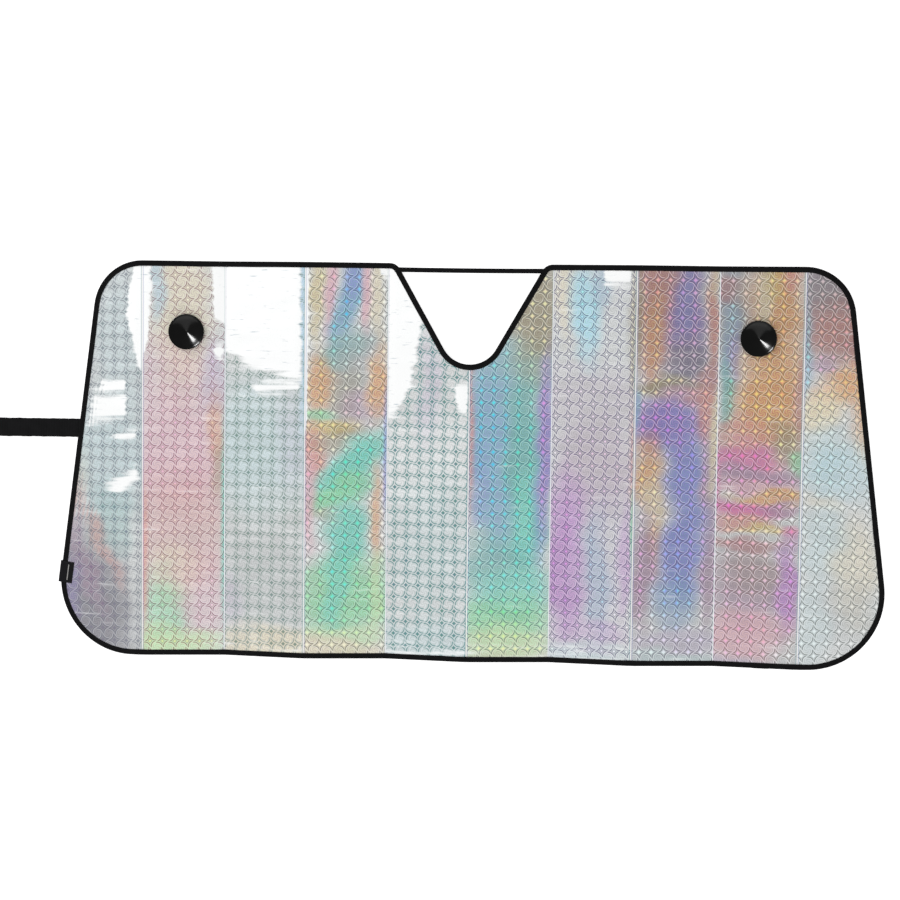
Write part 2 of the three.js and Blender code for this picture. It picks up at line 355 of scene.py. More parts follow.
def grid_faces(rows, columns, close_rows=False, close_columns=False):
    """Quads over a grid of points that is numbered row by row."""
    faces = []
    for i in range(rows if close_rows else rows - 1):
        for j in range(columns if close_columns else columns - 1):
            right = (j + 1) % columns
            here, above = i * columns, (i + 1) % rows * columns
            faces.append((here + j, here + right, above + right, above + j))
    return faces


def strip_faces(rows, columns):
    """Faces of a swept section, with quads across its first and its last ring."""
    faces = grid_faces(rows, columns, close_columns=True)
    for first, forward in ((0, False), ((rows - 1) * columns, True)):
        for j in range(columns // 2 - 1):
            quad = (first + j, first + j + 1, first + columns - 2 - j, first + columns - 1 - j)
            faces.append(quad if forward else quad[::-1])
    return faces


def set_uv(piece, along, across):
    """Gives each point's place along and across a strip, in metres, as a UV map."""
    layer = piece.data.uv_layers.new(name="strip")
    corners = [loop.vertex_index for loop in piece.data.loops]
    layer.data.foreach_set("uv", np.stack([along[corners], across[corners]], axis=1).ravel())


def new_material(name, levels):
    """A material with only a Principled shader at the given levels, its node tree and the shader."""
    material = bpy.data.materials.new(name)
    material.use_nodes = True
    shader = material.node_tree.nodes["Principled BSDF"]
    for level, value in levels.items():
        shader.inputs[level].default_value = value
    return material, material.node_tree, shader


def add(tree, kind, inputs=None, **settings):
    """Adds a node, sets it up, and fills its inputs with values or with what other nodes give."""
    node = tree.nodes.new(kind)
    for name, value in settings.items():
        setattr(node, name, value)
    for key, value in (inputs or {}).items():
        shown = [socket for socket in node.inputs if socket.enabled]
        socket = shown[key] if isinstance(key, int) else next(s for s in shown if s.name == key)
        if isinstance(value, bpy.types.Node):
            value = next(output for output in value.outputs if output.enabled)
        if isinstance(value, bpy.types.NodeSocket):
            tree.links.new(value, socket)
        else:
            socket.default_value = value
    return node


def calc(tree, operation, *values):
    """Adds a math node over values and what other nodes give."""
    return add(tree, "ShaderNodeMath", dict(enumerate(values)), operation=operation)


def remap(tree, value, start, end, low=0.0, high=1.0, smooth=False):
    """Adds a node that maps start to end onto low to high, and keeps the result between them."""
    limits = {"Value": value, "From Min": start, "From Max": end, "To Min": low, "To Max": high}
    kind = "SMOOTHSTEP" if smooth else "LINEAR"
    return add(tree, "ShaderNodeMapRange", limits, interpolation_type=kind)


def blend(tree, share, below, above):
    """Adds a node that lays one colour over another by a share."""
    return add(tree, "ShaderNodeMix", {"Factor": share, "A": below, "B": above}, data_type="RGBA")


def shaded(tree, tint, level):
    """Adds a node that makes a plain colour lighter and darker."""
    return add(tree, "ShaderNodeHueSaturation", {"Value": level, "Color": opaque(tint)})


def grain(tree, place, scale, detail):
    """Adds noise that comes back about that often in a metre."""
    return add(tree, "ShaderNodeTexNoise", {"Vector": place, "Scale": scale, "Detail": detail})


def stretched_grain(tree, place, scale, detail):
    """Adds noise that has its own scale along each axis."""
    return grain(tree, add(tree, "ShaderNodeMapping", {"Vector": place, "Scale": scale}), 1.0, detail)


def opaque(tint):
    """A colour with full alpha."""
    return tuple(tint) + (1,)


def link(tree, node, shader, name):
    """Joins what a node gives to a shader's input."""
    tree.links.new(next(output for output in node.outputs if output.enabled), shader.inputs[name])


def bend_light(tree, shader, height, strength, distance):
    """Lets fine relief of the given depth bend what the shader mirrors."""
    relief = {"Strength": strength, "Distance": distance, "Height": height}
    link(tree, add(tree, "ShaderNodeBump", relief), shader, "Normal")


def set_ramp(node, stops):
    """Fills a colour ramp with hard-edged (place, linear colour with alpha) stops."""
    ramp = node.color_ramp
    ramp.interpolation = "CONSTANT"
    while len(ramp.elements) < len(stops):
        ramp.elements.new(1.0)
    for element, (place, shade) in zip(ramp.elements, stops):
        element.position = place
        element.color = shade


# Colours of the film

# Each hue of the sheen: the film's ground and the stars in it
HUES = {
    "silver": ("#c8cbcb", "#f4f7f7"),
    "grey": ("#a4a8a9", "#dfe6e6"),
    "slate": ("#83818a", "#c9c4d0"),
    "white": ("#f4f6f6", "#ffffff"),
    "ice": ("#b9cccf", "#e0f5f4"),
    "teal": ("#66aeaa", "#4fdcd0"),
    "aqua": ("#6cc6b4", "#5fe8d4"),
    "green": ("#7fca97", "#7fe6a4"),
    "lime": ("#b9d6a2", "#dcee9c"),
    "yellow": ("#cdb46c", "#efe48c"),
    "cream": ("#d6c9aa", "#f6ecc9"),
    "orange": ("#cf9560", "#f2cb80"),
    "salmon": ("#cb847c", "#f2b8a0"),
    "rose": ("#b07a7a", "#f0a8b4"),
    "pink": ("#d8a6b2", "#f09cc0"),
    "magenta": ("#cf6fa4", "#ee6fb8"),
    "mauve": ("#a5869f", "#e29ad2"),
    "lavender": ("#bbb0c6", "#dccbf2"),
    "orchid": ("#b58ac2", "#e49ae8"),
    "violet": ("#8878be", "#d78ae0"),
    "blue": ("#7886c6", "#9c92f2"),
    "azure": ("#80a6c2", "#5cd6ea"),
    "sky": ("#a2c4d8", "#a6e6f4"),
    "cyan": ("#a2cfdc", "#b4eff6"),
    "olive": ("#978b6e", "#e6dba6"),
    "umber": ("#7a6656", "#d8bc98"),
}

# Soft patches of the rainbow sheen: hue, panel, place across the panel and down the sheet (0 to 1),
# half width across, half height down, lean (how far across for each step down), strength. Later ones
# lie over earlier ones.
WASHES = (
    ("ice", 1, 0.7, 0.22, 0.35, 0.22, 0, 0.6),
    ("ice", 1, 0.5, 0.5, 0.8, 0.14, 0, 0.85),
    ("teal", 1, 0.65, 0.66, 0.35, 0.09, 0, 0.35),
    ("cream", 1, 0.12, 0.54, 0.25, 0.06, 0, 0.4),
    ("slate", 1, 0.3, 0.86, 0.6, 0.18, 1.6, 0.9),
    ("mauve", 1, 0.25, 0.76, 0.14, 0.14, 1.8, 0.5),
    ("salmon", 1, 0.4, 0.68, 0.1, 0.14, 2.4, 0.5),
    ("violet", 1, 0.1, 0.84, 0.12, 0.09, 0, 0.35),
    ("silver", 1, 0.93, 0.78, 0.1, 0.2, 0, 0.7),
    ("cream", 2, 0.48, 0.12, 0.4, 0.22, 0, 0.65),
    ("sky", 2, 0.2, 0.05, 0.1, 0.1, 0, 0.6),
    ("pink", 2, 0.3, 0.3, 0.6, 0.1, 0, 0.35),
    ("lavender", 2, 0.88, 0.3, 0.15, 0.1, 0, 0.6),
    ("pink", 2, 0.5, 0.5, 0.8, 0.16, 0, 0.6),
    ("salmon", 2, 0.5, 0.68, 0.7, 0.14, 0, 0.4),
    ("cream", 2, 0.4, 0.78, 0.3, 0.08, 0, 0.45),
    ("green", 2, 0.28, 0.89, 0.3, 0.09, 0, 0.6),
    ("pink", 2, 0.75, 0.84, 0.3, 0.12, 0, 0.4),
    ("lime", 2, 0.35, 0.97, 0.6, 0.04, 0, 0.8),
    ("orange", 2, 0.88, 0.42, 0.1, 0.09, 0, 0.5),
    ("olive", 2, 0.92, 0.53, 0.07, 0.08, 0, 0.5),
    ("salmon", 2, 0.02, 0.75, 0.05, 0.2, 0, 0.7),
    ("aqua", 2, 0.99, 0.66, 0.03, 0.26, 0, 0.8),
    ("ice", 3, 0.4, 0.46, 0.9, 0.16, 0, 0.85),
    ("lavender", 3, 0.85, 0.45, 0.2, 0.12, 0, 0.3),
    ("grey", 3, 0.6, 0.8, 0.8, 0.14, 0, 0.3),
    ("lavender", 3, 0.1, 0.86, 0.16, 0.08, 0, 0.4),
    ("cream", 3, 0.6, 0.97, 0.8, 0.05, 0, 0.7),
    ("sky", 3, 0.98, 0.12, 0.05, 0.3, 0, 0.8),
    ("silver", 4, 0.5, 0.06, 0.8, 0.14, 0, 0.4),
    ("yellow", 4, 0.14, 0.08, 0.1, 0.12, 0, 0.6),
    ("pink", 4, 0.3, 0.06, 0.07, 0.13, 0, 0.8),
    ("azure", 4, 0.52, 0.1, 0.16, 0.14, -0.6, 1.0),
    ("blue", 4, 0.55, 0.03, 0.12, 0.06, 0, 0.6),
    ("pink", 4, 0.74, 0.07, 0.06, 0.13, 0, 0.8),
    ("cream", 4, 0.88, 0.08, 0.09, 0.14, 0, 0.7),
    ("grey", 4, 0.5, 0.24, 0.3, 0.07, -3, 0.7),
    ("teal", 4, 0.42, 0.22, 0.24, 0.05, -4, 0.6),
    ("orange", 4, 0.18, 0.3, 0.2, 0.08, 0, 0.85),
    ("grey", 4, 0.55, 0.3, 0.2, 0.12, 0, 0.6),
    ("olive", 4, 0.5, 0.33, 0.2, 0.08, 0, 0.4),
    ("mauve", 4, 0.7, 0.36, 0.25, 0.05, 0, 0.5),
    ("orange", 4, 0.88, 0.3, 0.14, 0.09, 0, 0.85),
    ("green", 4, 0.2, 0.385, 0.2, 0.018, -3, 0.7),
    ("yellow", 4, 0.35, 0.415, 0.35, 0.02, -2, 0.85),
    ("salmon", 4, 0.12, 0.48, 0.16, 0.07, 0, 0.85),
    ("olive", 4, 0.45, 0.44, 0.3, 0.03, -3.9, 0.6),
    ("aqua", 4, 0.56, 0.52, 0.36, 0.1, -3.9, 1.0),
    ("green", 4, 0.4, 0.585, 0.3, 0.05, -3.9, 0.85),
    ("pink", 4, 0.06, 0.6, 0.09, 0.12, 0, 0.7),
    ("olive", 4, 0.4, 0.635, 0.3, 0.012, -4, 0.4),
    ("aqua", 4, 0.52, 0.7, 0.26, 0.11, -1, 0.95),
    ("green", 4, 0.5, 0.84, 0.7, 0.1, 0, 0.85),
    ("aqua", 4, 0.38, 0.82, 0.16, 0.12, -0.6, 0.7),
    ("orange", 4, 0.88, 0.64, 0.07, 0.12, 0, 0.7),
    ("lime", 4, 0.88, 0.84, 0.08, 0.1, 0, 0.6),
    ("blue", 4, 0.98, 0.48, 0.03, 0.16, 0, 0.8),
    ("lime", 4, 0.4, 0.94, 0.7, 0.03, 0, 0.6),
    ("cream", 4, 0.35, 0.98, 0.8, 0.03, 0, 0.7),
    ("lavender", 5, 0.5, 0.32, 0.14, 0.14, 0, 0.5),
    ("white", 5, 0.5, 0.5, 0.8, 0.12, 0, 0.2),
    ("ice", 5, 0.6, 0.7, 0.5, 0.18, 0, 0.35),
    ("ice", 5, 0.5, 0.95, 0.9, 0.06, 0, 0.6),
    ("teal", 6, 0.6, 0.27, 0.5, 0.1, 0, 0.6),
    ("olive", 6, 0.8, 0.12, 0.35, 0.16, 0, 0.85),
    ("azure", 6, 0.2, 0.42, 0.4, 0.2, 0, 1.0),
    ("azure", 6, 0.4, 0.6, 0.3, 0.12, 0, 0.9),
    ("teal", 6, 0.68, 0.46, 0.26, 0.18, 0, 0.9),
    ("aqua", 6, 0.76, 0.66, 0.25, 0.14, 0, 0.95),
    ("blue", 6, 0.12, 0.56, 0.12, 0.1, 0, 0.35),
    ("blue", 6, 0.9, 0.56, 0.1, 0.2, 0, 0.5),
    ("violet", 6, 0.94, 0.44, 0.09, 0.22, 0, 0.85),
    ("teal", 6, 0.35, 0.74, 0.5, 0.07, 0, 0.7),
    ("aqua", 6, 0.55, 0.82, 0.6, 0.06, 0, 0.8),
    ("green", 6, 0.45, 0.89, 0.6, 0.06, 0, 0.85),
    ("lime", 6, 0.45, 0.95, 0.6, 0.05, 0, 0.8),
    ("cream", 6, 0.5, 1.0, 0.7, 0.03, 0, 0.4),
    ("salmon", 6, 0.02, 0.42, 0.03, 0.2, 0, 0.7),
    ("cream", 7, 0.14, 0.06, 0.14, 0.12, 0, 0.6),
    ("cyan", 7, 0.4, 0.12, 0.2, 0.13, 0.6, 1.0),
    ("azure", 7, 0.6, 0.05, 0.12, 0.06, 0, 0.5),
    ("silver", 7, 0.5, 0.28, 0.8, 0.08, 0, 0.5),
    ("mauve", 7, 0.5, 0.34, 0.8, 0.1, 0, 0.25),
    ("mauve", 7, 0.55, 0.52, 0.5, 0.12, 0, 0.45),
    ("orchid", 7, 0.2, 0.74, 0.24, 0.22, 0, 0.95),
    ("lavender", 7, 0.55, 0.76, 0.3, 0.18, 0, 0.5),
    ("azure", 7, 0.56, 0.78, 0.16, 0.16, 0, 0.4),
    ("orchid", 7, 0.9, 0.74, 0.08, 0.14, 0, 0.6),
    ("orchid", 7, 0.6, 0.93, 0.3, 0.04, 0, 0.4),
    ("ice", 7, 0.4, 0.98, 0.9, 0.03, 0, 0.7),
    ("olive", 7, 0.96, 0.16, 0.05, 0.16, 0, 0.6),
    ("salmon", 7, 0.98, 0.5, 0.03, 0.14, 0, 0.6),
    ("green", 7, 0.98, 0.66, 0.025, 0.08, 0, 0.7),
    ("salmon", 8, 0.22, 0.12, 0.26, 0.18, 0, 0.9),
    ("rose", 8, 0.25, 0.06, 0.3, 0.1, 0, 0.6),
    ("orange", 8, 0.2, 0.17, 0.12, 0.12, 0, 0.7),
    ("olive", 8, 0.03, 0.12, 0.05, 0.12, 0, 0.7),
    ("violet", 8, 0.6, 0.12, 0.22, 0.18, 0, 0.95),
    ("blue", 8, 0.58, 0.08, 0.12, 0.1, 0, 0.6),
    ("slate", 8, 0.62, 0.24, 0.24, 0.06, 0, 0.7),
    ("salmon", 8, 0.93, 0.12, 0.08, 0.14, 0, 0.9),
    ("cream", 8, 0.95, 0.03, 0.06, 0.05, 0, 0.7),
    ("rose", 8, 0.85, 0.28, 0.16, 0.06, -2, 0.8),
    ("umber", 8, 0.5, 0.11, 0.6, 0.16, 0, 0.26),
    ("olive", 8, 0.3, 0.3, 0.4, 0.022, 1, 0.85),
    ("salmon", 8, 0.6, 0.33, 0.4, 0.018, 0, 0.6),
    ("violet", 8, 0.4, 0.39, 0.5, 0.065, 0.6, 1.0),
    ("salmon", 8, 0.85, 0.37, 0.1, 0.07, 0, 0.85),
    ("cream", 8, 0.97, 0.4, 0.05, 0.1, 0, 0.7),
    ("azure", 8, 0.02, 0.35, 0.04, 0.05, 0, 0.7),
    ("rose", 8, 0.2, 0.44, 0.2, 0.025, 0, 0.7),
    ("blue", 8, 0.6, 0.5, 0.24, 0.14, 0.3, 0.95),
    ("violet", 8, 0.55, 0.42, 0.16, 0.06, 0, 0.6),
    ("mauve", 8, 0.9, 0.55, 0.12, 0.14, 0, 0.7),
    ("cream", 8, 0.95, 0.45, 0.06, 0.12, 0, 0.8),
    ("orange", 8, 0.16, 0.53, 0.2, 0.09, 0.3, 0.9),
    ("cream", 8, 0.22, 0.6, 0.14, 0.08, 0, 0.7),
    ("orange", 8, 0.24, 0.69, 0.12, 0.06, 0, 0.7),
    ("blue", 8, 0.58, 0.72, 0.3, 0.16, -0.4, 0.95),
    ("mauve", 8, 0.1, 0.76, 0.16, 0.14, 0, 0.8),
    ("azure", 8, 0.5, 0.84, 0.25, 0.08, 0, 0.5),
    ("mauve", 8, 0.92, 0.78, 0.1, 0.12, 0, 0.7),
    ("lavender", 8, 0.6, 0.94, 0.7, 0.035, 0, 0.6),
    ("ice", 8, 0.4, 0.985, 0.9, 0.02, 0, 0.7),
    ("slate", 9, 0.12, 0.1, 0.2, 0.14, 0, 0.6),
    ("azure", 9, 0.14, 0.18, 0.12, 0.2, 0, 0.6),
    ("rose", 9, 0.1, 0.04, 0.14, 0.04, 0, 0.7),
    ("violet", 9, 0.18, 0.22, 0.08, 0.06, 0, 0.5),
    ("teal", 9, 0.1, 0.33, 0.09, 0.1, 0, 0.9),
    ("orange", 9, 0.65, 0.12, 0.36, 0.2, 0, 1.0),
    ("cream", 9, 0.5, 0.08, 0.1, 0.11, 0, 0.9),
    ("yellow", 9, 0.6, 0.05, 0.12, 0.05, 0, 0.6),
    ("salmon", 9, 0.85, 0.03, 0.12, 0.03, 0, 0.7),
    ("umber", 9, 0.4, 0.1, 0.6, 0.13, 0, 0.2),
    ("orange", 9, 0.6, 0.34, 0.45, 0.12, 0, 1.0),
    ("salmon", 9, 0.3, 0.42, 0.4, 0.04, 0, 0.7),
    ("rose", 9, 0.95, 0.33, 0.06, 0.1, 0, 0.6),
    ("magenta", 9, 0.3, 0.475, 0.5, 0.04, 0, 0.9),
    ("olive", 9, 0.78, 0.43, 0.16, 0.05, 0, 0.7),
    ("green", 9, 0.93, 0.48, 0.1, 0.03, 0, 0.7),
    ("mauve", 9, 0.45, 0.52, 0.6, 0.03, 0, 0.9),
    ("orange", 9, 0.65, 0.57, 0.5, 0.018, 0, 0.9),
    ("pink", 9, 0.5, 0.545, 0.6, 0.012, 0, 0.6),
    ("magenta", 9, 0.35, 0.605, 0.5, 0.024, 0, 1.0),
    ("mauve", 9, 0.75, 0.6, 0.3, 0.02, 0, 0.7),
    ("salmon", 9, 0.3, 0.64, 0.4, 0.02, 0, 0.8),
    ("yellow", 9, 0.6, 0.655, 0.35, 0.012, 0, 0.75),
    ("magenta", 9, 0.88, 0.66, 0.12, 0.02, 0, 0.8),
    ("rose", 9, 0.35, 0.69, 0.5, 0.016, 0, 0.8),
    ("mauve", 9, 0.4, 0.8, 0.55, 0.1, 0, 0.7),
    ("olive", 9, 0.45, 0.76, 0.4, 0.06, 0, 0.3),
    ("orchid", 9, 0.86, 0.8, 0.14, 0.12, 0, 1.0),
    ("pink", 9, 0.35, 0.92, 0.6, 0.06, 0, 0.75),
    ("magenta", 9, 0.03, 0.55, 0.03, 0.12, 0, 0.6),
    ("lavender", 9, 0.2, 0.985, 0.5, 0.02, 0, 0.6),
    ("mauve", 10, 0.4, 0.08, 0.5, 0.1, 0, 0.8),
    ("slate", 10, 0.3, 0.06, 0.4, 0.08, 0, 0.8),
    ("rose", 10, 0.5, 0.16, 0.6, 0.08, 0, 1.0),
    ("azure", 10, 0.04, 0.2, 0.05, 0.12, 0, 0.7),
    ("umber", 10, 0.4, 0.12, 0.6, 0.13, 0, 0.34),
    ("mauve", 10, 0.2, 0.25, 0.2, 0.03, 0, 0.7),
    ("orange", 10, 0.6, 0.28, 0.4, 0.06, -4, 0.95),
    ("cream", 10, 0.22, 0.36, 0.24, 0.06, -1, 0.9),
    ("orange", 10, 0.72, 0.37, 0.16, 0.08, 0, 0.7),
    ("ice", 10, 0.3, 0.46, 0.34, 0.08, 0, 0.8),
    ("cream", 10, 0.8, 0.45, 0.16, 0.04, 0, 0.6),
    ("cyan", 10, 0.5, 0.51, 0.6, 0.06, 2, 0.4),
    ("cream", 10, 0.25, 0.58, 0.2, 0.03, 3, 0.4),
    ("ice", 10, 0.3, 0.68, 0.3, 0.1, 0, 0.7),
    ("cream", 10, 0.68, 0.76, 0.28, 0.14, 0, 0.5),
    ("grey", 10, 0.6, 0.86, 0.4, 0.08, 0, 0.35),
    ("ice", 10, 0.15, 0.88, 0.2, 0.12, 0, 0.5),
)

# Painted glare: where the film throws a lamp straight back, white highlight is painted into its colour.
# Each entry: panel, softness in mm, and corners as places across the panel and down the sheet (0 to 1).
PAINTED_GLARES = (
    (1, 20, (
        (0.95, -0.04), (1.02, -0.04), (1.02, 0.32), (0.96, 0.27), (0.84, 0.22), (0.79, 0.15), (0.83, 0.08),
    )),
    (1, 16, ((0.45, 0.3), (0.8, 0.295), (0.8, 0.325), (0.5, 0.327))),
    (1, 26, ((0.37, 0.342), (0.8, 0.335), (0.8, 0.398), (0.32, 0.398))),
    (1, 16, ((0.57, 0.437), (0.93, 0.43), (0.9, 0.45), (0.7, 0.452))),
    (1, 40, ((0.5, 0.57), (0.93, 0.52), (0.96, 0.55), (0.7, 0.59))),
    (2, 20, ((-0.02, -0.04), (0.105, -0.04), (0.1, 0.18), (0.07, 0.2), (0.03, 0.32), (-0.02, 0.34))),
    (2, 20, ((0.83, -0.04), (1.02, -0.04), (1.02, 0.16), (0.86, 0.14))),
    (2, 20, ((0.87, 0.21), (0.98, 0.205), (0.98, 0.25), (0.88, 0.24))),
    (3, 34, ((-0.02, -0.06), (0.93, -0.06), (0.96, 0.3), (0.35, 0.265), (0.08, 0.235), (-0.02, 0.22))),
    (3, 22, ((0.3, 0.305), (0.92, 0.3), (0.94, 0.325), (0.4, 0.33))),
    (4, 12, ((-0.02, -0.04), (0.04, -0.04), (0.03, 0.4), (-0.02, 0.45))),
    (4, 16, ((0.87, -0.03), (1.0, -0.03), (1.0, 0.04), (0.9, 0.03))),
    (5, 40, ((-0.02, -0.06), (0.56, -0.06), (0.54, 0.2), (0.3, 0.3), (0.25, 0.37), (-0.02, 0.39))),
    (5, 26, ((0.83, 0.305), (0.98, 0.3), (0.98, 0.38), (0.86, 0.37))),
    (5, 120, ((-0.02, 1.01), (1.02, 1.01), (1.02, 1.3), (-0.02, 1.3))),
    (6, 120, ((-0.02, 1.02), (1.02, 1.02), (1.02, 1.3), (-0.02, 1.3))),
    (7, 120, ((-0.02, 1.02), (1.02, 1.02), (1.02, 1.3), (-0.02, 1.3))),
    (3, 120, ((-0.02, 1.02), (1.02, 1.02), (1.02, 1.3), (-0.02, 1.3))),
    (7, 24, ((0.6, 0.003), (0.92, 0.0), (0.92, 0.045), (0.62, 0.05))),
)

# How the embossing looks in each panel: the colour of its lines, how much of that colour shows, how much
# of the lines shows, how wide the dark ring round a star is (0 to 1), how bright the stars are, from dark
# (0) to light (1), and the panel's brightness.
EMBOSSING = (
    ("#565b70", 0.75, 0.85, 0.4, 0.2, 1.0),
    ("#7e2450", 0.6, 1.0, 0.7, 0.95, 1.03),
    ("#567a70", 0.85, 0.85, 0.4, 0.15, 1.05),
    ("#4a4a52", 0.55, 1.0, 0.3, 1.0, 0.98),
    ("#2c7c7c", 0.95, 0.95, 0.35, 0.12, 1.06),
    ("#2f4a68", 0.55, 1.0, 0.2, 1.0, 0.98),
    ("#2f2866", 0.8, 1.0, 0.75, 0.95, 1.0),
    ("#4f4460", 0.65, 1.0, 0.2, 0.95, 0.83),
    ("#5f4a42", 0.6, 1.0, 0.2, 0.95, 0.84),
    ("#565e5c", 0.75, 1.0, 0.3, 0.95, 1.01),
)


def patch(across, down, place, reach, lean, warp):
    """Strength of one soft patch: full in the middle and gone a little past its reach."""
    off = down - place[1] + 0.014 * warp[1]
    sway = min(0.07, 0.4 * reach[0]) * warp[0]
    sideways = np.abs(across - place[0] - lean * off + sway) / reach[0]
    lengthways = np.abs(off) / reach[1]
    return 1 - smooth_step((np.hypot(sideways, lengthways) - 0.4) / 1.05)


def glare_depth(across, down, corners, size):
    """How deep each place lies inside the corners' outline, in metres, steeper across than down."""
    spots = np.array(corners) * size
    middle = spots.mean(axis=0)
    depth = np.full(across.shape, np.inf)
    for start, end in zip(spots, np.roll(spots, -1, axis=0)):
        run = end - start
        inward = np.array([-run[1], run[0]]) / np.linalg.norm(run)
        inward *= np.sign(inward @ (middle - start))
        off = inward[0] * (across * size[0] - start[0]) + inward[1] * (down * size[1] - start[1])
        depth = np.minimum(depth, off * (1 + 3 * abs(inward[0])))
    return depth


def vivid(shades, strength):
    """Pushes colours away from grey."""
    grey = shades.mean(axis=-1, keepdims=True)
    return np.clip(grey + (shades - grey) * strength, 0.01, 1)


def film_colours(outline, xs, ys):
    """Colours of the film's ground, lines and stars at each place, and its shares of web, ring and glare."""
    span = xs / outline.panel_pitch + PANEL_COUNT / 2
    panel = np.clip(np.floor(span), 0, PANEL_COUNT - 1).astype(int) + 1
    across = span + 1 - panel
    down = (HALF_HEIGHT - ys) / (2 * HALF_HEIGHT)
    warp = (
        soft_noise(xs, ys, 1, 60 * MM, 38 * MM),
        soft_noise(xs, ys, 2, 70 * MM, 26 * MM) + 0.5 * soft_noise(xs, ys, 3, 30 * MM, 9 * MM),
    )
    hues = {name: np.array([linear(tint) for tint in pair]) for name, pair in HUES.items()}
    shades = np.ones(xs.shape + (2, 3)) * hues["silver"]
    for hue, number, *place, wide, tall, lean, strength in WASHES:
        weight = strength * patch(across, down, place, (wide, tall), lean, warp) * (panel == number)
        shades += (hues[hue] - shades) * weight[..., None, None]
    ground, light = shades[..., 0, :], shades[..., 1, :]
    # Painted glare: the share of white highlight laid into the colour at each place.
    glare = np.zeros(xs.shape)
    size = np.array([outline.panel_pitch, 2 * HALF_HEIGHT])
    for number, softness, corners in PAINTED_GLARES:
        depth = glare_depth(across, down, corners, size)
        share = np.clip(0.5 + depth / (softness * MM), 0, 1.4)
        glare = np.maximum(glare, share * (panel == number))
    inks = np.array([linear(row[0]) for row in EMBOSSING])[panel - 1]
    own, web, ring, bright, tone = (
        np.array([row[i] for row in EMBOSSING])[panel - 1][..., None] for i in range(1, 6)
    )
    ink = vivid(light, 1.5) * 0.32
    ink += (inks - ink) * own
    star = ink + (light - ink) * bright
    shares = {"web": web[..., 0], "ring": ring[..., 0], "glare": glare}
    return {"ground": ground * tone, "ink": ink, "star": star}, shares


def film_columns(outline, film):
    """Places of the mesh's columns, with a close group on each crease."""
    half = PANEL_HIGH.x - SHEET_MIDDLE_X
    xs = []
    stops = [-half] + [x for x, _ in fold_points(outline)[1:-1]] + [half]
    for start, end in zip(stops, stops[1:]):
        run = end - start
        step = film.column_step if run > 2 * outline.ridge_band else outline.ridge_band / 8
        count = max(2, round(run / step))
        xs += [start + run * i / count for i in range(count)]
    return np.array(xs + [half])


def ripples(outline, film, xs, ys, low, high):
    """Small waves in the film, which fade towards the hem, the creases and the cups."""
    waves = soft_noise(xs, ys, 11, 75 * MM, 22 * MM) + 0.4 * soft_noise(xs, ys, 12, 26 * MM, 12 * MM)
    to_edge = np.minimum(ys - low, high - ys)
    span = np.abs((xs / outline.panel_pitch + 0.5) % 1 - 0.5) * outline.panel_pitch
    fade = smooth_step((to_edge - 10 * MM) / (15 * MM)) * smooth_step((span - 8 * MM) / (14 * MM))
    for x, y, _, _ in cup_places():
        fade = fade * smooth_step((np.hypot(xs - x, ys - y) - 14 * MM) / (22 * MM))
    return film.ripple * waves * fade


def build_film():
    """The folded sheet, as a closed shell with its film side and its plain back."""
    outline, film, tape = settings("outline", "film", "tape")
    path, inward = outline_path(outline)
    sheet_edge = path + inward * hem_level(tape)
    columns = film_columns(outline, film)
    low, high = edges_at(sheet_edge, columns)
    share = np.linspace(0, 1, film.row_count)[:, None]
    ys = low + (high - low) * share
    xs = np.broadcast_to(columns, ys.shape)
    past_bands = [abs(columns - x) - band / 2 for x, band, _ in creases(outline)]
    pressed = np.max([1 - smooth_step(past / (3 * MM)) for past in past_bands], axis=0)
    half = (LAMINATE_THICKNESS - (LAMINATE_THICKNESS - film.pressed) * pressed) / 2
    level = fold_level(outline, xs) + ripples(outline, film, xs, ys, low, high)
    front = np.stack([xs, ys, level + half], axis=-1).reshape(-1, 3)
    back = np.stack([xs, ys, level - half], axis=-1).reshape(-1, 3)
    rows, count = ys.shape
    total = rows * count
    faces = grid_faces(rows, count)
    back_faces = [tuple(total + i for i in reversed(face)) for face in faces]
    rim = list(range(count))
    rim += [i * count + count - 1 for i in range(1, rows)]
    rim += [(rows - 1) * count + i for i in range(count - 2, -1, -1)]
    rim += [i * count for i in range(rows - 2, 0, -1)]
    rim_faces = [(total + a, total + b, b, a) for a, b in zip(rim, rim[1:] + rim[:1])]
    materials = [swirl_film(outline, film), silver_back(film)]
    points = np.concatenate([front, back])
    piece = new_piece("film_sheet", points, faces + back_faces + rim_faces, materials)
    slots = [0] * len(faces) + [1] * (len(back_faces) + len(rim_faces))
    piece.data.polygons.foreach_set("material_index", slots)
    shades, shares = film_colours(outline, xs, ys)
    for name, shade in shades.items():
        tint = np.ones((2 * total, 4))
        tint[:, :3] = np.concatenate([shade.reshape(-1, 3)] * 2)
        layer = piece.data.attributes.new(name, "FLOAT_COLOR", "POINT")
        layer.data.foreach_set("color", tint.ravel())
    for name, share in shares.items():
        layer = piece.data.attributes.new(name, "FLOAT", "POINT")
        layer.data.foreach_set("value", np.concatenate([share.ravel()] * 2))
    stand_in(piece, "shade_panel")


def attribute(tree, name, output):
    """What the film's mesh keeps under a name."""
    return add(tree, "ShaderNodeAttribute", attribute_name=name).outputs[output]


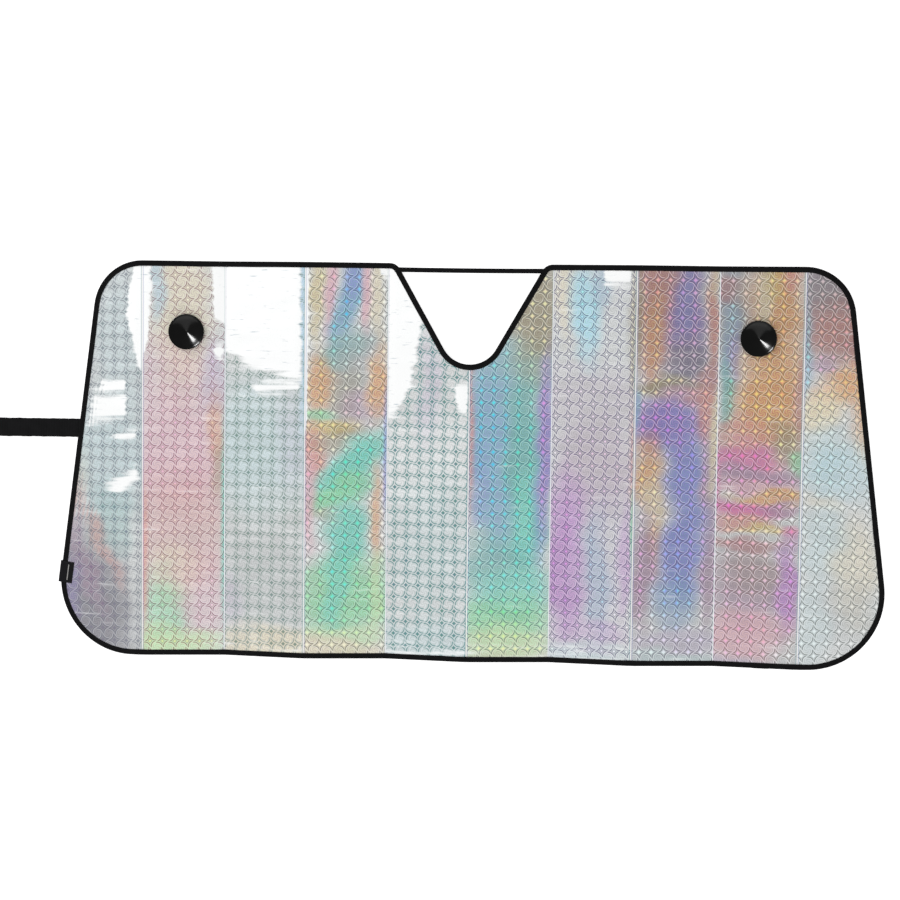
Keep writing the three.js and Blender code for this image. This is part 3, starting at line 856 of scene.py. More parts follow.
def pinwheel(tree, cells, ring_level):
    """Shares of the arms, the dark and the pale arcs, the rings and the stars in each embossed cell."""
    # One cell, from -0.5 to 0.5 each way
    inside = add(tree, "ShaderNodeVectorMath", {0: cells}, operation="FRACTION")
    local = add(tree, "ShaderNodeVectorMath", {0: inside, 1: (0.5, 0.5, 0)}, operation="SUBTRACT")
    parts = add(tree, "ShaderNodeSeparateXYZ", {0: local})
    radius = add(tree, "ShaderNodeVectorMath", {0: local}, operation="LENGTH").outputs["Value"]
    angle = calc(tree, "ARCTAN2", parts.outputs["Y"], parts.outputs["X"])
    # Faint arms fill each circle.
    spin = calc(tree, "MULTIPLY_ADD", angle, 4.0, calc(tree, "MULTIPLY", radius, 22.0))
    in_circle = remap(tree, radius, 0.3, 0.4, 1.0, 0.0, smooth=True)
    arms = calc(tree, "MULTIPLY", calc(tree, "SINE", spin), in_circle)
    # Four arcs wind outwards until they touch the next circle's: a dark line, and a pale one inside it.
    quarter = calc(tree, "FRACT", calc(tree, "MULTIPLY", angle, -4 / math.tau))
    off_arc = calc(tree, "SUBTRACT", radius, calc(tree, "MULTIPLY_ADD", quarter, 0.14, 0.375))
    arcs = []
    for middle, full, gone in ((0.015, 0.014, 0.052), (-0.05, 0.015, 0.055)):
        distance = calc(tree, "ABSOLUTE", calc(tree, "SUBTRACT", off_arc, middle))
        arcs.append(remap(tree, distance, full, gone, 1.0, 0.0, smooth=True))
    # A bright star shows where four circles meet, with a dark line round it.
    gap = remap(tree, radius, 0.565, 0.6, smooth=True)
    ring = calc(tree, "MULTIPLY", gap, ring_level)
    shrunk = calc(tree, "MULTIPLY_ADD", ring_level, -0.06, radius)
    star = remap(tree, shrunk, 0.555, 0.595, smooth=True)
    return (arms, *arcs, ring, star)


def swirl_film(outline, film):
    """Metallised film embossed with a repeating swirl: a soft mirror that splits light into colours."""
    levels = {"Metallic": 0.55, "Roughness": 0.33}
    material, tree, shader = new_material("metallised_swirl_film", levels)
    place = add(tree, "ShaderNodeTexCoord").outputs["Object"]
    ground, ink, star_tint = (attribute(tree, name, "Color") for name in ("ground", "ink", "star"))
    web_level, ring_level, glare = (attribute(tree, name, "Fac") for name in ("web", "ring", "glare"))
    per_metre = (1 / film.swirl_pitch, 1 / film.swirl_pitch, 0)
    cells = add(tree, "ShaderNodeVectorMath", {0: place, 1: per_metre}, operation="MULTIPLY")
    arms, dark_arc, pale_arc, ring, star = pinwheel(tree, cells, ring_level)
    # Streaks lie across the sheet, where the film is drawn over its core, and tear the glare's edge.
    streaks = stretched_grain(tree, place, (12, 130, 0), 6.0)
    torn = calc(tree, "ADD", remap(tree, streaks, 0.0, 1.0, -1.0, 1.0), glare)
    blown = remap(tree, torn, 0.2, 0.9, smooth=True)
    faded = remap(tree, torn, 0.25, 0.9, 1.0, 0.15)
    # Light and dark of the relief, with a little chance from cell to cell
    cell = add(tree, "ShaderNodeVectorMath", {0: cells}, operation="FLOOR")
    chance = add(tree, "ShaderNodeTexWhiteNoise", {"Vector": cell}, noise_dimensions="2D").outputs["Value"]
    relief = calc(tree, "MULTIPLY_ADD", arms, 0.13, 1.02)
    # The streaks also lighten and darken the colour: painted light and shade of the film's crinkles.
    streak_light = remap(tree, streaks, 0.0, 1.0, -0.2, 0.2)
    level = calc(tree, "ADD", relief, calc(tree, "MULTIPLY_ADD", chance, 0.08, streak_light))
    hue_turn = calc(tree, "MULTIPLY_ADD", arms, 0.03, 0.5)
    lit = {"Hue": hue_turn, "Saturation": 0.85, "Value": level, "Color": ground}
    result = add(tree, "ShaderNodeHueSaturation", lit)
    # Dark lines, pale arcs and stars lie over the ground, and fade in the glare.
    dark = calc(tree, "MAXIMUM", dark_arc, calc(tree, "MULTIPLY", ring, 0.9))
    web = calc(tree, "MULTIPLY", dark, web_level)
    arc = calc(tree, "MULTIPLY", pale_arc, 0.85)
    pale = blend(tree, 0.4, blend(tree, 0.6, ground, opaque(linear("#f4f6f6"))), star_tint)
    star_hue = calc(tree, "MULTIPLY_ADD", chance, 0.1, 0.45)
    star_colour = add(tree, "ShaderNodeHueSaturation", {"Hue": star_hue, "Color": star_tint})
    for share, tint in ((web, ink), (arc, pale), (star, star_colour)):
        result = blend(tree, calc(tree, "MULTIPLY", share, faded), result, tint)
    # Painted glare: white highlight over the film's colour, with grey painted shade of its wrinkles.
    wrinkle_shade = remap(tree, stretched_grain(tree, place, (40, 330, 0), 4.0), 0.64, 0.74)
    glare_colour = blend(tree, wrinkle_shade, opaque(linear("#fdfefe")), opaque(linear("#bcc8cf")))
    with_painted_glare = blend(tree, blown, result, glare_colour)
    link(tree, crease_lines(tree, outline, place, with_painted_glare), shader, "Base Color")
    # The embossing and the streaks also bend the reflections.
    height = calc(tree, "MULTIPLY_ADD", relief, 2.0, streaks)
    bend_light(tree, shader, height, 0.2, 0.0006)
    return material


def crease_lines(tree, outline, place, below):
    """Draws thin lines that pressing leaves on ridges and valleys, and a painted highlight on each bend."""
    parts = add(tree, "ShaderNodeSeparateXYZ", {0: place})
    from_middle = calc(tree, "SUBTRACT", parts.outputs["X"], SHEET_MIDDLE_X)
    repeat = outline.panel_pitch
    reach = 0.75 * outline.ridge_band
    # Each line is a stop: its start as a share of twice the reach, its colour and how much of it shows.
    ridge_stops = (
        (0.0, "#ffffff", 0),
        (0.37, "#6fa9b5", 0.4),
        (0.44, "#8a7768", 0.55),
        # The white line is a painted highlight along the ridge's bend.
        (0.465, "#f6f7f8", 0.85),
        (0.555, "#a98f84", 0.4),
        (0.58, "#7f93c9", 0.35),
        (0.65, "#ffffff", 0),
    )
    valley_stops = (
        (0.0, "#ffffff", 0),
        (0.4, "#7fa9a9", 0.35),
        # The white line is a painted highlight along the valley's bend.
        (0.45, "#f6f7f8", 0.85),
        (0.53, "#8a86b4", 0.35),
        (0.57, "#ffffff", 0),
    )
    result = below
    for offset, stops in ((0, ridge_stops), (repeat, valley_stops)):
        span = calc(tree, "WRAP", from_middle, offset + repeat, offset - repeat)
        share = remap(tree, calc(tree, "SUBTRACT", span, offset), -reach, reach)
        ramp = add(tree, "ShaderNodeValToRGB", {"Fac": share})
        set_ramp(ramp, [(at, linear(tint) + (alpha,)) for at, tint, alpha in stops])
        result = blend(tree, ramp.outputs["Alpha"], result, ramp.outputs["Color"])
    return result


def silver_back(film):
    """Plain metallised film, laminated and a little creased: an even, dull silver."""
    levels = {"Metallic": 0.75, "Roughness": 0.34}
    material, tree, shader = new_material("laminated_silver_film", levels)
    place = add(tree, "ShaderNodeTexCoord").outputs["Object"]
    wrinkles = stretched_grain(tree, place, (30, 110, 30), 5.0)
    level = remap(tree, wrinkles, 0.0, 1.0, 0.86, 1.12)
    link(tree, shaded(tree, film.back_colour, level), shader, "Base Color")
    bend_light(tree, shader, wrinkles, 0.4, 0.0012)
    return material


# Binding tape, thread and straps


def woven_black(name, tint, rib_pitch):
    """Black woven polyester: matt, with fine ribs and a faint sheen at a low angle."""
    levels = {"Roughness": 0.82, "Specular IOR Level": 0.06, "Sheen Weight": 0.02, "Sheen Roughness": 0.4}
    material, tree, shader = new_material(name, levels)
    strip = add(tree, "ShaderNodeUVMap", uv_map="strip").outputs["UV"]
    # At scale 1 the wave comes back every tau / 20, and here once for each rib.
    ribs = {"Vector": strip, "Scale": math.tau / 20 / rib_pitch}
    uneven = {"Distortion": 0.6, "Detail": 2.0, "Detail Scale": 3.0}
    wave = add(tree, "ShaderNodeTexWave", ribs | uneven).outputs["Fac"]
    patchy = grain(tree, strip, 60.0, 4.0)
    fuzz = grain(tree, strip, 900.0, 2.0)
    level = remap(tree, calc(tree, "MULTIPLY_ADD", wave, 0.45, patchy), 0.0, 1.2, 0.55, 1.7)
    link(tree, shaded(tree, tint, level), shader, "Base Color")
    height = calc(tree, "MULTIPLY_ADD", fuzz, 0.4, wave)
    bend_light(tree, shader, height, 0.6, 0.0003)
    return material


def binding_section(tape):
    """The tape's section, from its front inner edge round the fold to the back and home again inside."""
    outer = hem_level(tape)
    inner = outer - tape.thickness
    seam = tape.width - tape.seam_inset
    sink = 0.18 * MM
    face = [(tape.width, outer - 0.3 * MM), (tape.width - 0.4 * MM, outer - 0.04 * MM)]
    face += [(seam + 0.9 * MM, outer), (seam, outer - sink), (seam - 0.9 * MM, outer), (4.2 * MM, outer)]
    angles = np.linspace(math.pi / 2, -math.pi / 2, 13)
    round_edge = [(outer - outer * math.cos(a), outer * math.sin(a)) for a in angles]
    inside = [(outer - inner * math.cos(a), inner * math.sin(a)) for a in angles[::3]]
    back = [(inset, -height) for inset, height in reversed(face)]
    return face + round_edge + back + [(tape.width, -inner), *reversed(inside), (tape.width, inner)]


def build_binding():
    """The tape folded round the edge and sewn through."""
    outline, tape = settings("outline", "tape")
    path, inward = outline_path(outline)
    section = binding_section(tape)
    along = distances(path)
    on_face = hem_level(tape) - 0.5 * MM
    rings = []
    for point, normal, distance in zip(path, inward, along):
        wander = 0.3 * MM * noise.noise(Vector((point[0] * 25, point[1] * 25, 4)))
        pucker = 0.07 * MM * math.sin(math.tau * distance / (9 * MM))
        lap = tape_lap(point)
        for inset, height in section:
            share = inset / tape.width
            reach = inset + (wander if share > 0.45 else 0)
            thicker = math.copysign(lap + pucker * share, height) if abs(height) > on_face else 0
            proud = -lap if abs(height) < on_face and inset < hem_level(tape) / 2 else 0
            spot = point + normal * (reach + proud)
            rings.append((spot[0], spot[1], fold_level(outline, spot[0]) + height + thicker))
    count = len(section)
    faces = grid_faces(len(path), count, close_rows=True, close_columns=True)
    material = woven_black("woven_binding_tape", tape.tape_colour, tape.weave_pitch)
    piece = new_piece("binding_tape", rings, [face[::-1] for face in faces], [material])
    set_uv(piece, np.repeat(along, count), np.tile([inset for inset, _ in section], len(path)))
    stand_in(piece, "edge_binding")


def tape_lap(point):
    """Extra thickness where the tape's end lies over its start, on the bottom edge."""
    start, end = 452 * MM, 476 * MM
    if point[1] > -HALF_HEIGHT + 5 * MM:
        return 0
    rise, fall = (point[0] - start) / (2 * MM), (end - point[0]) / (2 * MM)
    return 0.45 * MM * float(smooth_step(min(rise, fall)))


def stitch_tree(material):
    """Geometry nodes that lay a thread stitch at every step along the edges of a mesh."""
    tree = bpy.data.node_groups.new("seam_stitches", "GeometryNodeTree")
    tree.interface.new_socket("Seam", in_out="INPUT", socket_type="NodeSocketGeometry")
    for name in ("Spacing", "Stitch Length", "Thread"):
        tree.interface.new_socket(name, in_out="INPUT", socket_type="NodeSocketFloat")
    tree.interface.new_socket("Stitches", in_out="OUTPUT", socket_type="NodeSocketGeometry")
    start = tree.nodes.new("NodeGroupInput")
    given = {socket.name: socket for socket in start.outputs}
    curve = add(tree, "GeometryNodeMeshToCurve", {"Mesh": given["Seam"]})
    spaced = {"Curve": curve, "Length": given["Spacing"]}
    points = add(tree, "GeometryNodeResampleCurve", spaced, mode="LENGTH")
    tangent = add(tree, "GeometryNodeInputTangent")
    limits = {"Min": (-0.08, -0.08, -0.03), "Max": (0.08, 0.08, 0.03), "Seed": 5}
    jitter = add(tree, "FunctionNodeRandomValue", limits, data_type="FLOAT_VECTOR")
    heading = add(tree, "ShaderNodeVectorMath", {0: tangent, 1: jitter}, operation="ADD")
    turn = add(tree, "FunctionNodeAlignRotationToVector", {"Vector": heading}, axis="X")
    bead = add(tree, "GeometryNodeMeshUVSphere", {"Segments": 6, "Rings": 4, "Radius": 0.5})
    sizes = {"X": given["Stitch Length"], "Y": given["Thread"], "Z": given["Thread"]}
    scale = add(tree, "ShaderNodeCombineXYZ", sizes)
    stitch = {"Points": points, "Instance": bead, "Rotation": turn, "Scale": scale}
    laid = add(tree, "GeometryNodeInstanceOnPoints", stitch)
    real = add(tree, "GeometryNodeRealizeInstances", {"Geometry": laid})
    dressed = add(tree, "GeometryNodeSetMaterial", {"Geometry": real, "Material": material})
    end = tree.nodes.new("NodeGroupOutput")
    tree.links.new(dressed.outputs[0], end.inputs[0])
    return tree


def build_stitches():
    """The rows of thread along the tape's inner edge, on the film side and behind."""
    outline, tape = settings("outline", "tape")
    path, inward = outline_path(outline)
    row = path + inward * (tape.width - tape.seam_inset)
    level = fold_level(outline, row[:, 0])
    above = hem_level(tape) - 0.08 * MM
    points, edges = [], []
    for side in (1, -1):
        first = len(points)
        points += [(x, y, z + side * above) for (x, y), z in zip(row, level)]
        edges += [(first + i, first + (i + 1) % len(row)) for i in range(len(row))]
    seam = new_piece("hem_stitches", points, [], edges=edges)
    tree = stitch_tree(sewing_thread(tape))
    modifier = seam.modifiers.new("Stitches", "NODES")
    modifier.node_group = tree
    sizes = {"Spacing": tape.stitch_spacing, "Stitch Length": tape.stitch_length, "Thread": tape.thread}
    for item in tree.interface.items_tree:
        if item.in_out == "INPUT" and item.name in sizes:
            modifier[item.identifier] = sizes[item.name]
    seam.update_tag()
    evaluated = seam.evaluated_get(bpy.context.evaluated_depsgraph_get())
    mesh = bpy.data.meshes.new_from_object(evaluated)
    seam.modifiers.remove(modifier)
    seam.data = mesh
    mesh.name = "hem_stitches"
    mesh.polygons.foreach_set("use_smooth", [True] * len(mesh.polygons))
    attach(seam, "root")


def sewing_thread(tape):
    """Spun polyester thread: black, twisted, a touch glossier than the tape."""
    levels = {"Roughness": 0.55, "Specular IOR Level": 0.12}
    material, tree, shader = new_material("polyester_sewing_thread", levels)
    place = add(tree, "ShaderNodeTexCoord").outputs["Object"]
    twist = grain(tree, place, 1500.0, 1.0)
    level = remap(tree, twist, 0.0, 1.0, 0.6, 1.6)
    link(tree, shaded(tree, tape.thread_colour, level), shader, "Base Color")
    return material


def distances(path):
    """How far along a line each of its points lies."""
    return np.concatenate([[0], np.cumsum(np.linalg.norm(np.diff(path, axis=0), axis=1))])


def arc_points(middle, radius, angles):
    """Points of a circle in the plane at the given angles."""
    return [(middle[0] + radius * math.cos(a), middle[1] + radius * math.sin(a)) for a in angles]


def sweep_strip(path, width, thickness, across=7):
    """Points round a webbing that follows (x, height, middle y), ring by ring, and how many a ring has."""
    tangents = np.gradient(path[:, :2], axis=0)
    tangents /= np.linalg.norm(tangents, axis=1)[:, None]
    half_widths = np.broadcast_to(np.divide(width, 2), len(path))
    half_thick = np.broadcast_to(np.divide(thickness, 2), len(path))
    shares = np.linspace(-1, 1, across)
    points = []
    for (x, z, middle), (run, rise), half, thick in zip(path, tangents, half_widths, half_thick):
        section = [(share * (half - thick), thick) for share in shares] + [(half, 0.0)]
        section += [(share * (half - thick), -thick) for share in shares[::-1]] + [(-half, 0.0)]
        points += [(x - rise * off, middle + y, z + run * off) for y, off in section]
    return points, 2 * across + 2


# Notch strap


def build_notch_strap():
    """The taut strap over the notch, sewn on the binding at both ends."""
    outline, tape = settings("outline", "tape")
    low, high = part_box("notch_strap")
    y = HALF_HEIGHT - tape.strap_below_top
    overlap = 9 * MM
    half = (high.x - low.x) / 2
    edge = half - overlap
    above = hem_level(tape) + tape.clearance + tape.thickness / 2
    ends = [-half, -edge, edge, half]
    levels = [float(fold_level(outline, x)) + above for x in ends]
    xs = np.linspace(-half, half, 121)
    zs = np.interp(xs, ends, levels)
    sag = 0.5 * MM * np.cos(np.clip(xs / edge, -1, 1) * math.pi / 2)
    path = np.stack([xs, zs, y - sag], axis=1)
    points, count = sweep_strip(path, tape.strap_width, tape.thickness)
    material = woven_black("woven_strap_tape", tape.tape_colour, tape.weave_pitch)
    piece = new_piece("notch_strap_tape", points, strip_faces(len(xs), count), [material])
    set_uv(piece, np.repeat(xs, count), np.tile(np.linspace(0, 2 * tape.strap_width, count), len(xs)))
    stand_in(piece, "notch_strap")


# Closing elastic


def elastic_path(outline, loop, tape):
    """Middle line of the elastic: (x, height) from one sewn end round the far bend to the other."""
    low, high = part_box("storage_elastic")
    floor = low.z - SHEET_LEVEL
    far_x, sewn_x = low.x - SHEET_MIDDLE_X, high.x - SHEET_MIDDLE_X
    radius = (high.z - low.z) / 2
    edge_x = left_edge_x(outline, loop.above_middle + loop.width / 2)
    landing_x = edge_x - 14 * MM
    half = loop.thickness / 2
    gap = 0.05 * MM
    layer = 1.2 * MM
    below_film = hem_level(tape) + tape.clearance
    under = {x: float(fold_level(outline, x)) - below_film for x in (sewn_x, edge_x)}
    bend = np.linspace(math.pi / 2, 1.5 * math.pi, 17)
    arc = arc_points((far_x + radius, floor + radius), radius - half, bend)
    upper = [(x, under[x] - layer / 2) for x in (sewn_x, edge_x)] + [(landing_x, floor + 1.5 * layer)]
    lower = [(landing_x, floor + half + gap)] + [(x, under[x] - 1.5 * layer) for x in (edge_x, sewn_x)]
    return upper + arc + lower


def build_elastic():
    """The ribbed elastic loop behind the left edge, laid out flat."""
    outline, loop, tape = settings("outline", "loop", "tape")
    corners = np.array(elastic_path(outline, loop, tape))
    at = distances(corners)
    count = int(at[-1] / (loop.rib_pitch / 5))
    along = np.linspace(0, at[-1], count)
    xs, zs = np.interp(along, at, corners[:, 0]), np.interp(along, at, corners[:, 1])
    ribs = 0.1 * MM * np.cos(math.tau * along / loop.rib_pitch)
    # The long edges step in and out a little where the rubber threads draw the weave together.
    waves = np.sin(math.tau * along / (29 * MM)) + 0.5 * np.sin(math.tau * along / (11 * MM) + 1)
    widths = loop.width - 0.7 * MM + 0.45 * MM * waves
    path = np.stack([xs, zs, np.full(count, loop.above_middle)], axis=1)
    points, ring = sweep_strip(path, widths, loop.thickness - 0.1 * MM + ribs, across=9)
    material = woven_black("ribbed_black_elastic", loop.elastic_colour, loop.rib_pitch)
    piece = new_piece("closing_elastic", points, strip_faces(count, ring), [material])
    set_uv(piece, np.repeat(along, ring), np.tile(np.linspace(0, 2 * loop.width, ring), count))
    stand_in(piece, "storage_elastic")


# Label


def build_label():
    """The satin label folded round the left edge."""
    outline, loop, tape = settings("outline", "loop", "tape")
    half_thick = 0.35 * MM
    on_film = LAMINATE_THICKNESS / 2 + tape.clearance + 0.4 * MM
    on_hem = on_film + tape.thickness
    step_down = tape.width + 2.5 * MM
    bulge = 2.6 * MM
    front = [(20 * MM, on_film), (step_down + 3 * MM, on_film), (step_down, on_hem), (1 * MM, on_hem)]
    bend = [(-bulge * math.sin(a), on_hem * math.cos(a)) for a in np.linspace(0, math.pi, 15)]
    corners = np.array(front + bend + [(inset, -height) for inset, height in reversed(front)])
    at = distances(corners)
    along = np.linspace(0, at[-1], 90)
    insets, heights = np.interp(along, at, corners[:, 0]), np.interp(along, at, corners[:, 1])
    path = np.stack([insets, heights, np.zeros(len(along))], axis=1)
    points, ring = sweep_strip(path, loop.label_length - 0.6 * MM, 2 * half_thick, across=15)
    lean = math.atan((outline.bottom_width - outline.top_width) / 2 / (2 * HALF_HEIGHT))
    middle_y = loop.label_above_bottom - HALF_HEIGHT
    edge_x = left_edge_x(outline, middle_y)
    placed = []
    for inset, across, height in points:
        spot = Matrix.Rotation(-lean, 2) @ Vector((inset, across))
        x, y = edge_x + spot.x, middle_y + spot.y
        placed.append((x, y, float(fold_level(outline, x)) + height))
    faces = [face[::-1] for face in strip_faces(len(along), ring)]
    piece = new_piece("side_label", placed, faces, [satin_label(loop)])
    set_uv(piece, np.repeat(along, ring), np.array([across for _, across, _ in points]))
    stand_in(piece, "edge_label")


def satin_label(loop):
    """Woven damask satin: smooth black with a soft gloss, and one plain pale stripe."""
    levels = {"Roughness": 0.45, "Specular IOR Level": 0.08, "Sheen Weight": 0.02}
    material, tree, shader = new_material("woven_satin_label", levels)
    strip = add(tree, "ShaderNodeUVMap", uv_map="strip").outputs["UV"]
    parts = add(tree, "ShaderNodeSeparateXYZ", {0: strip})
    wave = add(tree, "ShaderNodeTexWave", {"Vector": strip, "Scale": 500.0}, bands_direction="Y")
    threads = wave.outputs["Fac"]
    ground = shaded(tree, loop.label_colour, remap(tree, threads, 0.0, 1.0, 0.7, 1.4))
    on_line = calc(tree, "COMPARE", parts.outputs["X"], 8.5 * MM, 0.6 * MM)
    in_reach = calc(tree, "COMPARE", parts.outputs["Y"], 0.0, 12.5 * MM)
    stripe = calc(tree, "MULTIPLY", on_line, in_reach)
    link(tree, blend(tree, stripe, ground, opaque(loop.stripe_colour)), shader, "Base Color")
    bend_light(tree, shader, threads, 0.3, 0.0002)
    return material


# Suction cups


def cup_places():
    """Each cup's place and lean: (x, y, level, slope of its panel)."""
    outline, cups = settings("outline", "cups")
    run = outline.panel_pitch - (outline.ridge_band + outline.valley_band) / 2
    slope = outline.fold_height / run
    y = HALF_HEIGHT - cups.below_top
    middle = 3.5 * outline.panel_pitch - cups.inset
    level = float(fold_level(outline, middle))
    return [(-middle, y, level, -slope), (middle, y, level, slope)]


def cup_profile(cups):
    """The turned section of a cup, from the head behind the film to the middle of the hollow."""
    seat = LAMINATE_THICKNESS / 2 + 0.3 * MM
    head_radius, head_round, neck = 9 * MM, 2 * MM, 4 * MM
    pad, rim_top = 9.5 * MM, seat + cups.height
    points = [(0.0, -seat - 2 * head_round)]
    round_edge = np.linspace(-math.pi / 2, math.pi / 2, 9)
    points += arc_points((head_radius - head_round, -seat - head_round), head_round, round_edge)
    points += [(neck, -seat), (neck, seat), (pad, seat), (pad + 0.7 * MM, seat + 0.3 * MM)]
    # The outside flares from the pad to the rim and is a little hollow on the way.
    xs = (pad + cups.rim, 18.7 * MM, 27.3 * MM)
    zs = (seat + cups.rim, seat + 5 * MM, rim_top - 1.4 * MM)
    for share in np.linspace(0, 1, 8):
        x = xs[0] + (xs[2] - xs[0]) * share
        points.append((x, float(np.interp(x, xs, zs)) - 0.5 * MM * math.sin(math.pi * share)))
    lip = cups.rim / 2
    points += arc_points((cups.radius - lip, rim_top - lip), lip, np.linspace(-0.6, math.pi - 0.5, 9))
    dimple, hollow_radius, floor = 1.6 * MM, cups.radius - cups.rim, rim_top - cups.depth
    for share in np.linspace(0.97, 0, 18):
        rise = 0.9 * share + 0.1 * share**6
        points.append((dimple + (hollow_radius - dimple) * share, floor + cups.depth * rise - 0.02 * MM))
    points += [(dimple * 0.6, floor - 0.45 * MM), (0.0, floor - 0.7 * MM)]
    return points


def build_cups():
    """Both suction cups, turned from one section and leant with their panels."""
    (cups,) = settings("cups")
    profile = cup_profile(cups)
    material = moulded_vinyl(cups)
    ring = profile[1:-1]
    angles = [math.tau * step / cups.steps for step in range(cups.steps)]
    for node, (x, y, level, slope) in zip(("suction_cup_left", "suction_cup_right"), cup_places()):
        turn = Matrix.Rotation(-math.atan(slope), 3, "Y")
        points = [(0, 0, profile[0][1])]
        for radius, height in ring:
            points += [(*spot, height) for spot in arc_points((0, 0), radius, angles)]
        points.append((0, 0, profile[-1][1]))
        placed = [tuple(turn @ Vector(point) + Vector((x, y, level))) for point in points]
        grid = grid_faces(len(ring), cups.steps, close_columns=True)
        faces = [tuple(1 + i for i in face) for face in grid]
        last = 1 + (len(ring) - 1) * cups.steps
        for step in range(cups.steps):
            following = (step + 1) % cups.steps
            faces.append((0, 1 + following, 1 + step))
            faces.append((len(points) - 1, last + step, last + following))
        piece = new_piece(node.replace("suction", "vinyl"), placed, faces, [material])
        bpy.data.collections[CUPS_COLLECTION].objects.link(piece)
        stand_in(piece, node)


def moulded_vinyl(cups):
    """Injection-moulded soft vinyl: deep black and wet-looking, with faint handling marks."""
    levels = {"Specular IOR Level": 0.06}
    material, tree, shader = new_material("moulded_black_vinyl", levels)
    place = add(tree, "ShaderNodeTexCoord").outputs["Object"]
    marks = grain(tree, place, 120.0, 5.0)
    level = remap(tree, marks, 0.0, 1.0, 0.8, 1.5)
    link(tree, shaded(tree, cups.vinyl_colour, level), shader, "Base Color")
    link(tree, remap(tree, marks, 0.0, 1.0, 0.08, 0.2), shader, "Roughness")
    bend_light(tree, shader, marks, 0.05, 0.0005)
    return material


# Stage


def build_stage():
    """Camera, world, lamps and floor."""
    (stage,) = settings("stage")
    place_camera(stage)
    light_world(stage)
    add_lamps()
    lay_floor(stage)
    bpy.context.scene.view_settings.view_transform = "Standard"


def place_camera(stage):
    """The photograph's view: nearly straight down, from about three metres."""
    camera = bpy.data.cameras.new("camera")
    camera.lens = stage.focal
    camera.sensor_width = 36
    camera.clip_end = 50
    holder = bpy.data.objects.new("camera", camera)
    rx, ry, rz = stage.camera_turn
    turn = Matrix.Rotation(rz, 3, "Z") @ Matrix.Rotation(ry, 3, "Y") @ Matrix.Rotation(rx, 3, "X")
    place = Vector(stage.camera_place) + Vector(SHEET_PLACE)
    holder.matrix_world = Matrix.Translation(place) @ turn.transposed().to_4x4()
    bpy.context.scene.collection.objects.link(holder)
    bpy.context.scene.camera = holder


def light_world(stage):
    """An even pale sky that mirrors and the camera see as white."""
    world = bpy.data.worlds.new("studio")
    world.use_nodes = True
    bpy.context.scene.world = world
    tree = world.node_tree
    background = tree.nodes["Background"]
    background.inputs["Color"].default_value = (1, 1, 1, 1)
    path = add(tree, "ShaderNodeLightPath")
    seen = calc(tree, "MAXIMUM", path.outputs["Is Camera Ray"], path.outputs["Is Glossy Ray"])
    direct = calc(tree, "MAXIMUM", seen, path.outputs["Is Transmission Ray"])
    link(tree, remap(tree, direct, 0.0, 1.0, stage.world_level), background, "Strength")


def add_lamps():
    """Key and fill for the whole shade, and two lamps that only the glossy cups mirror."""
    lamps = (
        ("key_softbox", (-1.75, 1.7, 2.1), (0.7, 0.5), 22, False),
        ("fill_softbox", (0.1, -2.3, 2.2), (3.0, 1.0), 22, False),
        ("cup_key", (-1.3, 1.35, 2.4), (0.5, 0.5), 190, True),
        ("cup_fill", (0.1, -1.9, 2.4), (5.0, 1.0), 60, True),
    )
    cups_only = bpy.data.collections.new(CUPS_COLLECTION)
    for name, place, size, power, only in lamps:
        lamp = bpy.data.lights.new(name, "AREA")
        lamp.shape = "RECTANGLE"
        lamp.size, lamp.size_y = size
        lamp.energy = power
        holder = bpy.data.objects.new(name, lamp)
        holder.location = place
        aim = Vector((SHEET_MIDDLE_X, 0, 0)) - Vector(place)
        holder.rotation_euler = aim.to_track_quat("-Z", "Y").to_euler()
        if only:
            holder.light_linking.receiver_collection = cups_only
        bpy.context.scene.collection.objects.link(holder)


def lay_floor(stage):
    """A white floor just under the shade, which keeps its shadow."""
    half = 9.0
    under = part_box("edge_binding")[0].z - 0.4 * MM
    mesh = bpy.data.meshes.new("floor")
    corners = [(x * half, y * half, under) for x, y in ((-1, -1), (1, -1), (1, 1), (-1, 1))]
    mesh.from_pydata(corners, [], [(0, 1, 2, 3)])
    levels = {"Roughness": 0.9, "Emission Color": (1, 1, 1, 1)}
    material, tree, shader = new_material("matt_white_floor", levels)
    fine = add(tree, "ShaderNodeTexNoise", {"Scale": 40.0, "Detail": 3.0})
    level = remap(tree, fine, 0.0, 1.0, 0.99, 1.01)
    link(tree, shaded(tree, stage.floor_colour, level), shader, "Base Color")
    path = add(tree, "ShaderNodeLightPath")
    link(tree, calc(tree, "MULTIPLY", path.outputs["Is Camera Ray"], 0.7), shader, "Emission Strength")
    mesh.materials.append(material)
    floor = bpy.data.objects.new("floor", mesh)
    bpy.context.scene.collection.objects.link(floor)


# Operators and panel


class SUNSHADE_OT_stage(bpy.types.Operator):
    """Adds the camera, world, lamps and floor"""

    bl_idname = "sunshade.stage"
    bl_label = "Stage"

    def execute(self, context):
        build_stage()
        return {"FINISHED"}


class SUNSHADE_OT_film(bpy.types.Operator):
    """Builds the folded swirl film"""

    bl_idname = "sunshade.film"
    bl_label = "Film"

    def execute(self, context):
        build_film()
        return {"FINISHED"}


class SUNSHADE_OT_binding(bpy.types.Operator):
    """Builds the tape round the edge"""

    bl_idname = "sunshade.binding"
    bl_label = "Binding"

    def execute(self, context):
        build_binding()
        return {"FINISHED"}


class SUNSHADE_OT_stitches(bpy.types.Operator):
    """Sews the tape's inner edge"""

    bl_idname = "sunshade.stitches"
    bl_label = "Stitches"

    def execute(self, context):
        build_stitches()
        return {"FINISHED"}


class SUNSHADE_OT_notch_strap(bpy.types.Operator):
    """Builds the strap over the notch"""

    bl_idname = "sunshade.notch_strap"
    bl_label = "Notch Strap"

    def execute(self, context):
        build_notch_strap()
        return {"FINISHED"}


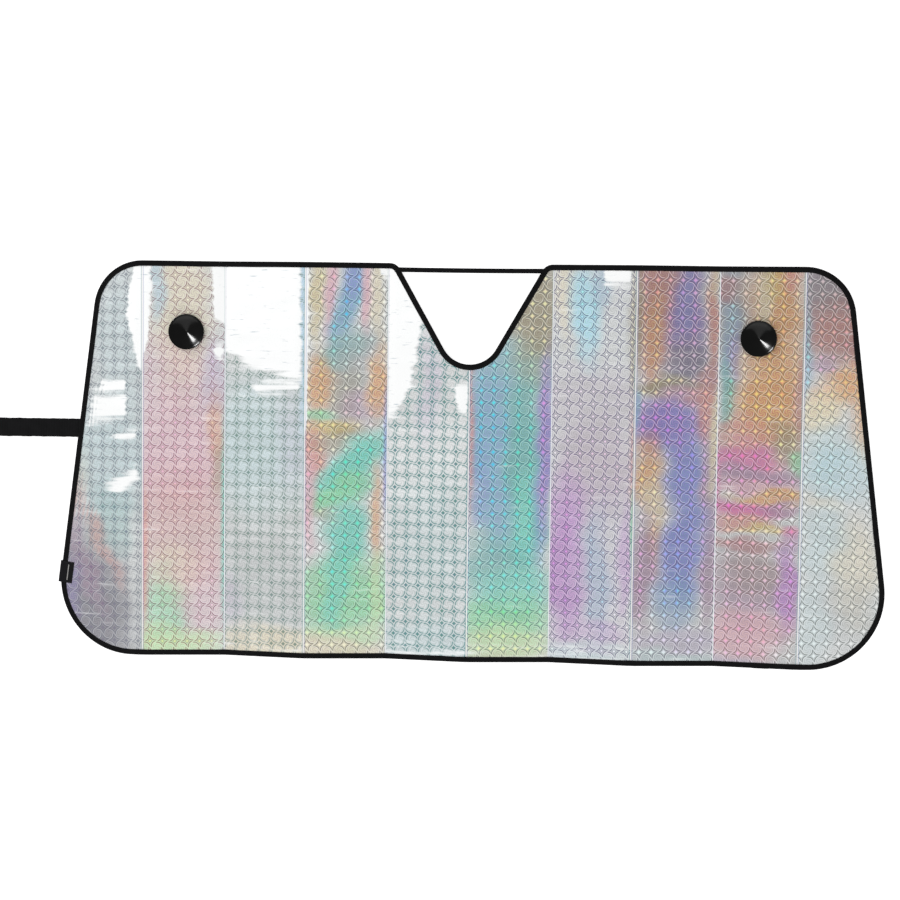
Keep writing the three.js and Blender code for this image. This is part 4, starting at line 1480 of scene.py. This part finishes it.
class SUNSHADE_OT_elastic(bpy.types.Operator):
    """Builds the closing elastic"""

    bl_idname = "sunshade.elastic"
    bl_label = "Elastic"

    def execute(self, context):
        build_elastic()
        return {"FINISHED"}


class SUNSHADE_OT_label(bpy.types.Operator):
    """Builds the label on the left edge"""

    bl_idname = "sunshade.label"
    bl_label = "Label"

    def execute(self, context):
        build_label()
        return {"FINISHED"}


class SUNSHADE_OT_cups(bpy.types.Operator):
    """Builds both suction cups"""

    bl_idname = "sunshade.cups"
    bl_label = "Suction Cups"

    def execute(self, context):
        build_cups()
        return {"FINISHED"}


OPERATORS = (
    SUNSHADE_OT_stage,
    SUNSHADE_OT_film,
    SUNSHADE_OT_binding,
    SUNSHADE_OT_stitches,
    SUNSHADE_OT_notch_strap,
    SUNSHADE_OT_elastic,
    SUNSHADE_OT_label,
    SUNSHADE_OT_cups,
)


class SUNSHADE_PT_panel(bpy.types.Panel):
    """Lists the steps that build the sunshade"""

    bl_idname = "SUNSHADE_PT_panel"
    bl_label = "Windscreen Sunshade"
    bl_space_type = "VIEW_3D"
    bl_region_type = "UI"
    bl_category = "Sunshade"

    def draw(self, context):
        """Draws one button for each step."""
        for operator in OPERATORS:
            self.layout.operator(operator.bl_idname)


def register():
    """Registers the settings, operators and panel."""
    for name, group in SETTINGS.items():
        bpy.utils.register_class(group)
        setattr(bpy.types.Scene, name, PointerProperty(type=group))
    for operator in OPERATORS:
        bpy.utils.register_class(operator)
    bpy.utils.register_class(SUNSHADE_PT_panel)


def unregister():
    """Removes what register added."""
    bpy.utils.unregister_class(SUNSHADE_PT_panel)
    for operator in reversed(OPERATORS):
        bpy.utils.unregister_class(operator)
    for name, group in SETTINGS.items():
        delattr(bpy.types.Scene, name)
        bpy.utils.unregister_class(group)


def main():
    """Builds every piece in order."""
    register()
    bpy.ops.sunshade.stage()
    bpy.ops.sunshade.film()
    bpy.ops.sunshade.binding()
    bpy.ops.sunshade.stitches()
    bpy.ops.sunshade.notch_strap()
    bpy.ops.sunshade.elastic()
    bpy.ops.sunshade.label()
    bpy.ops.sunshade.cups()


if __name__ == "__main__":
    main()
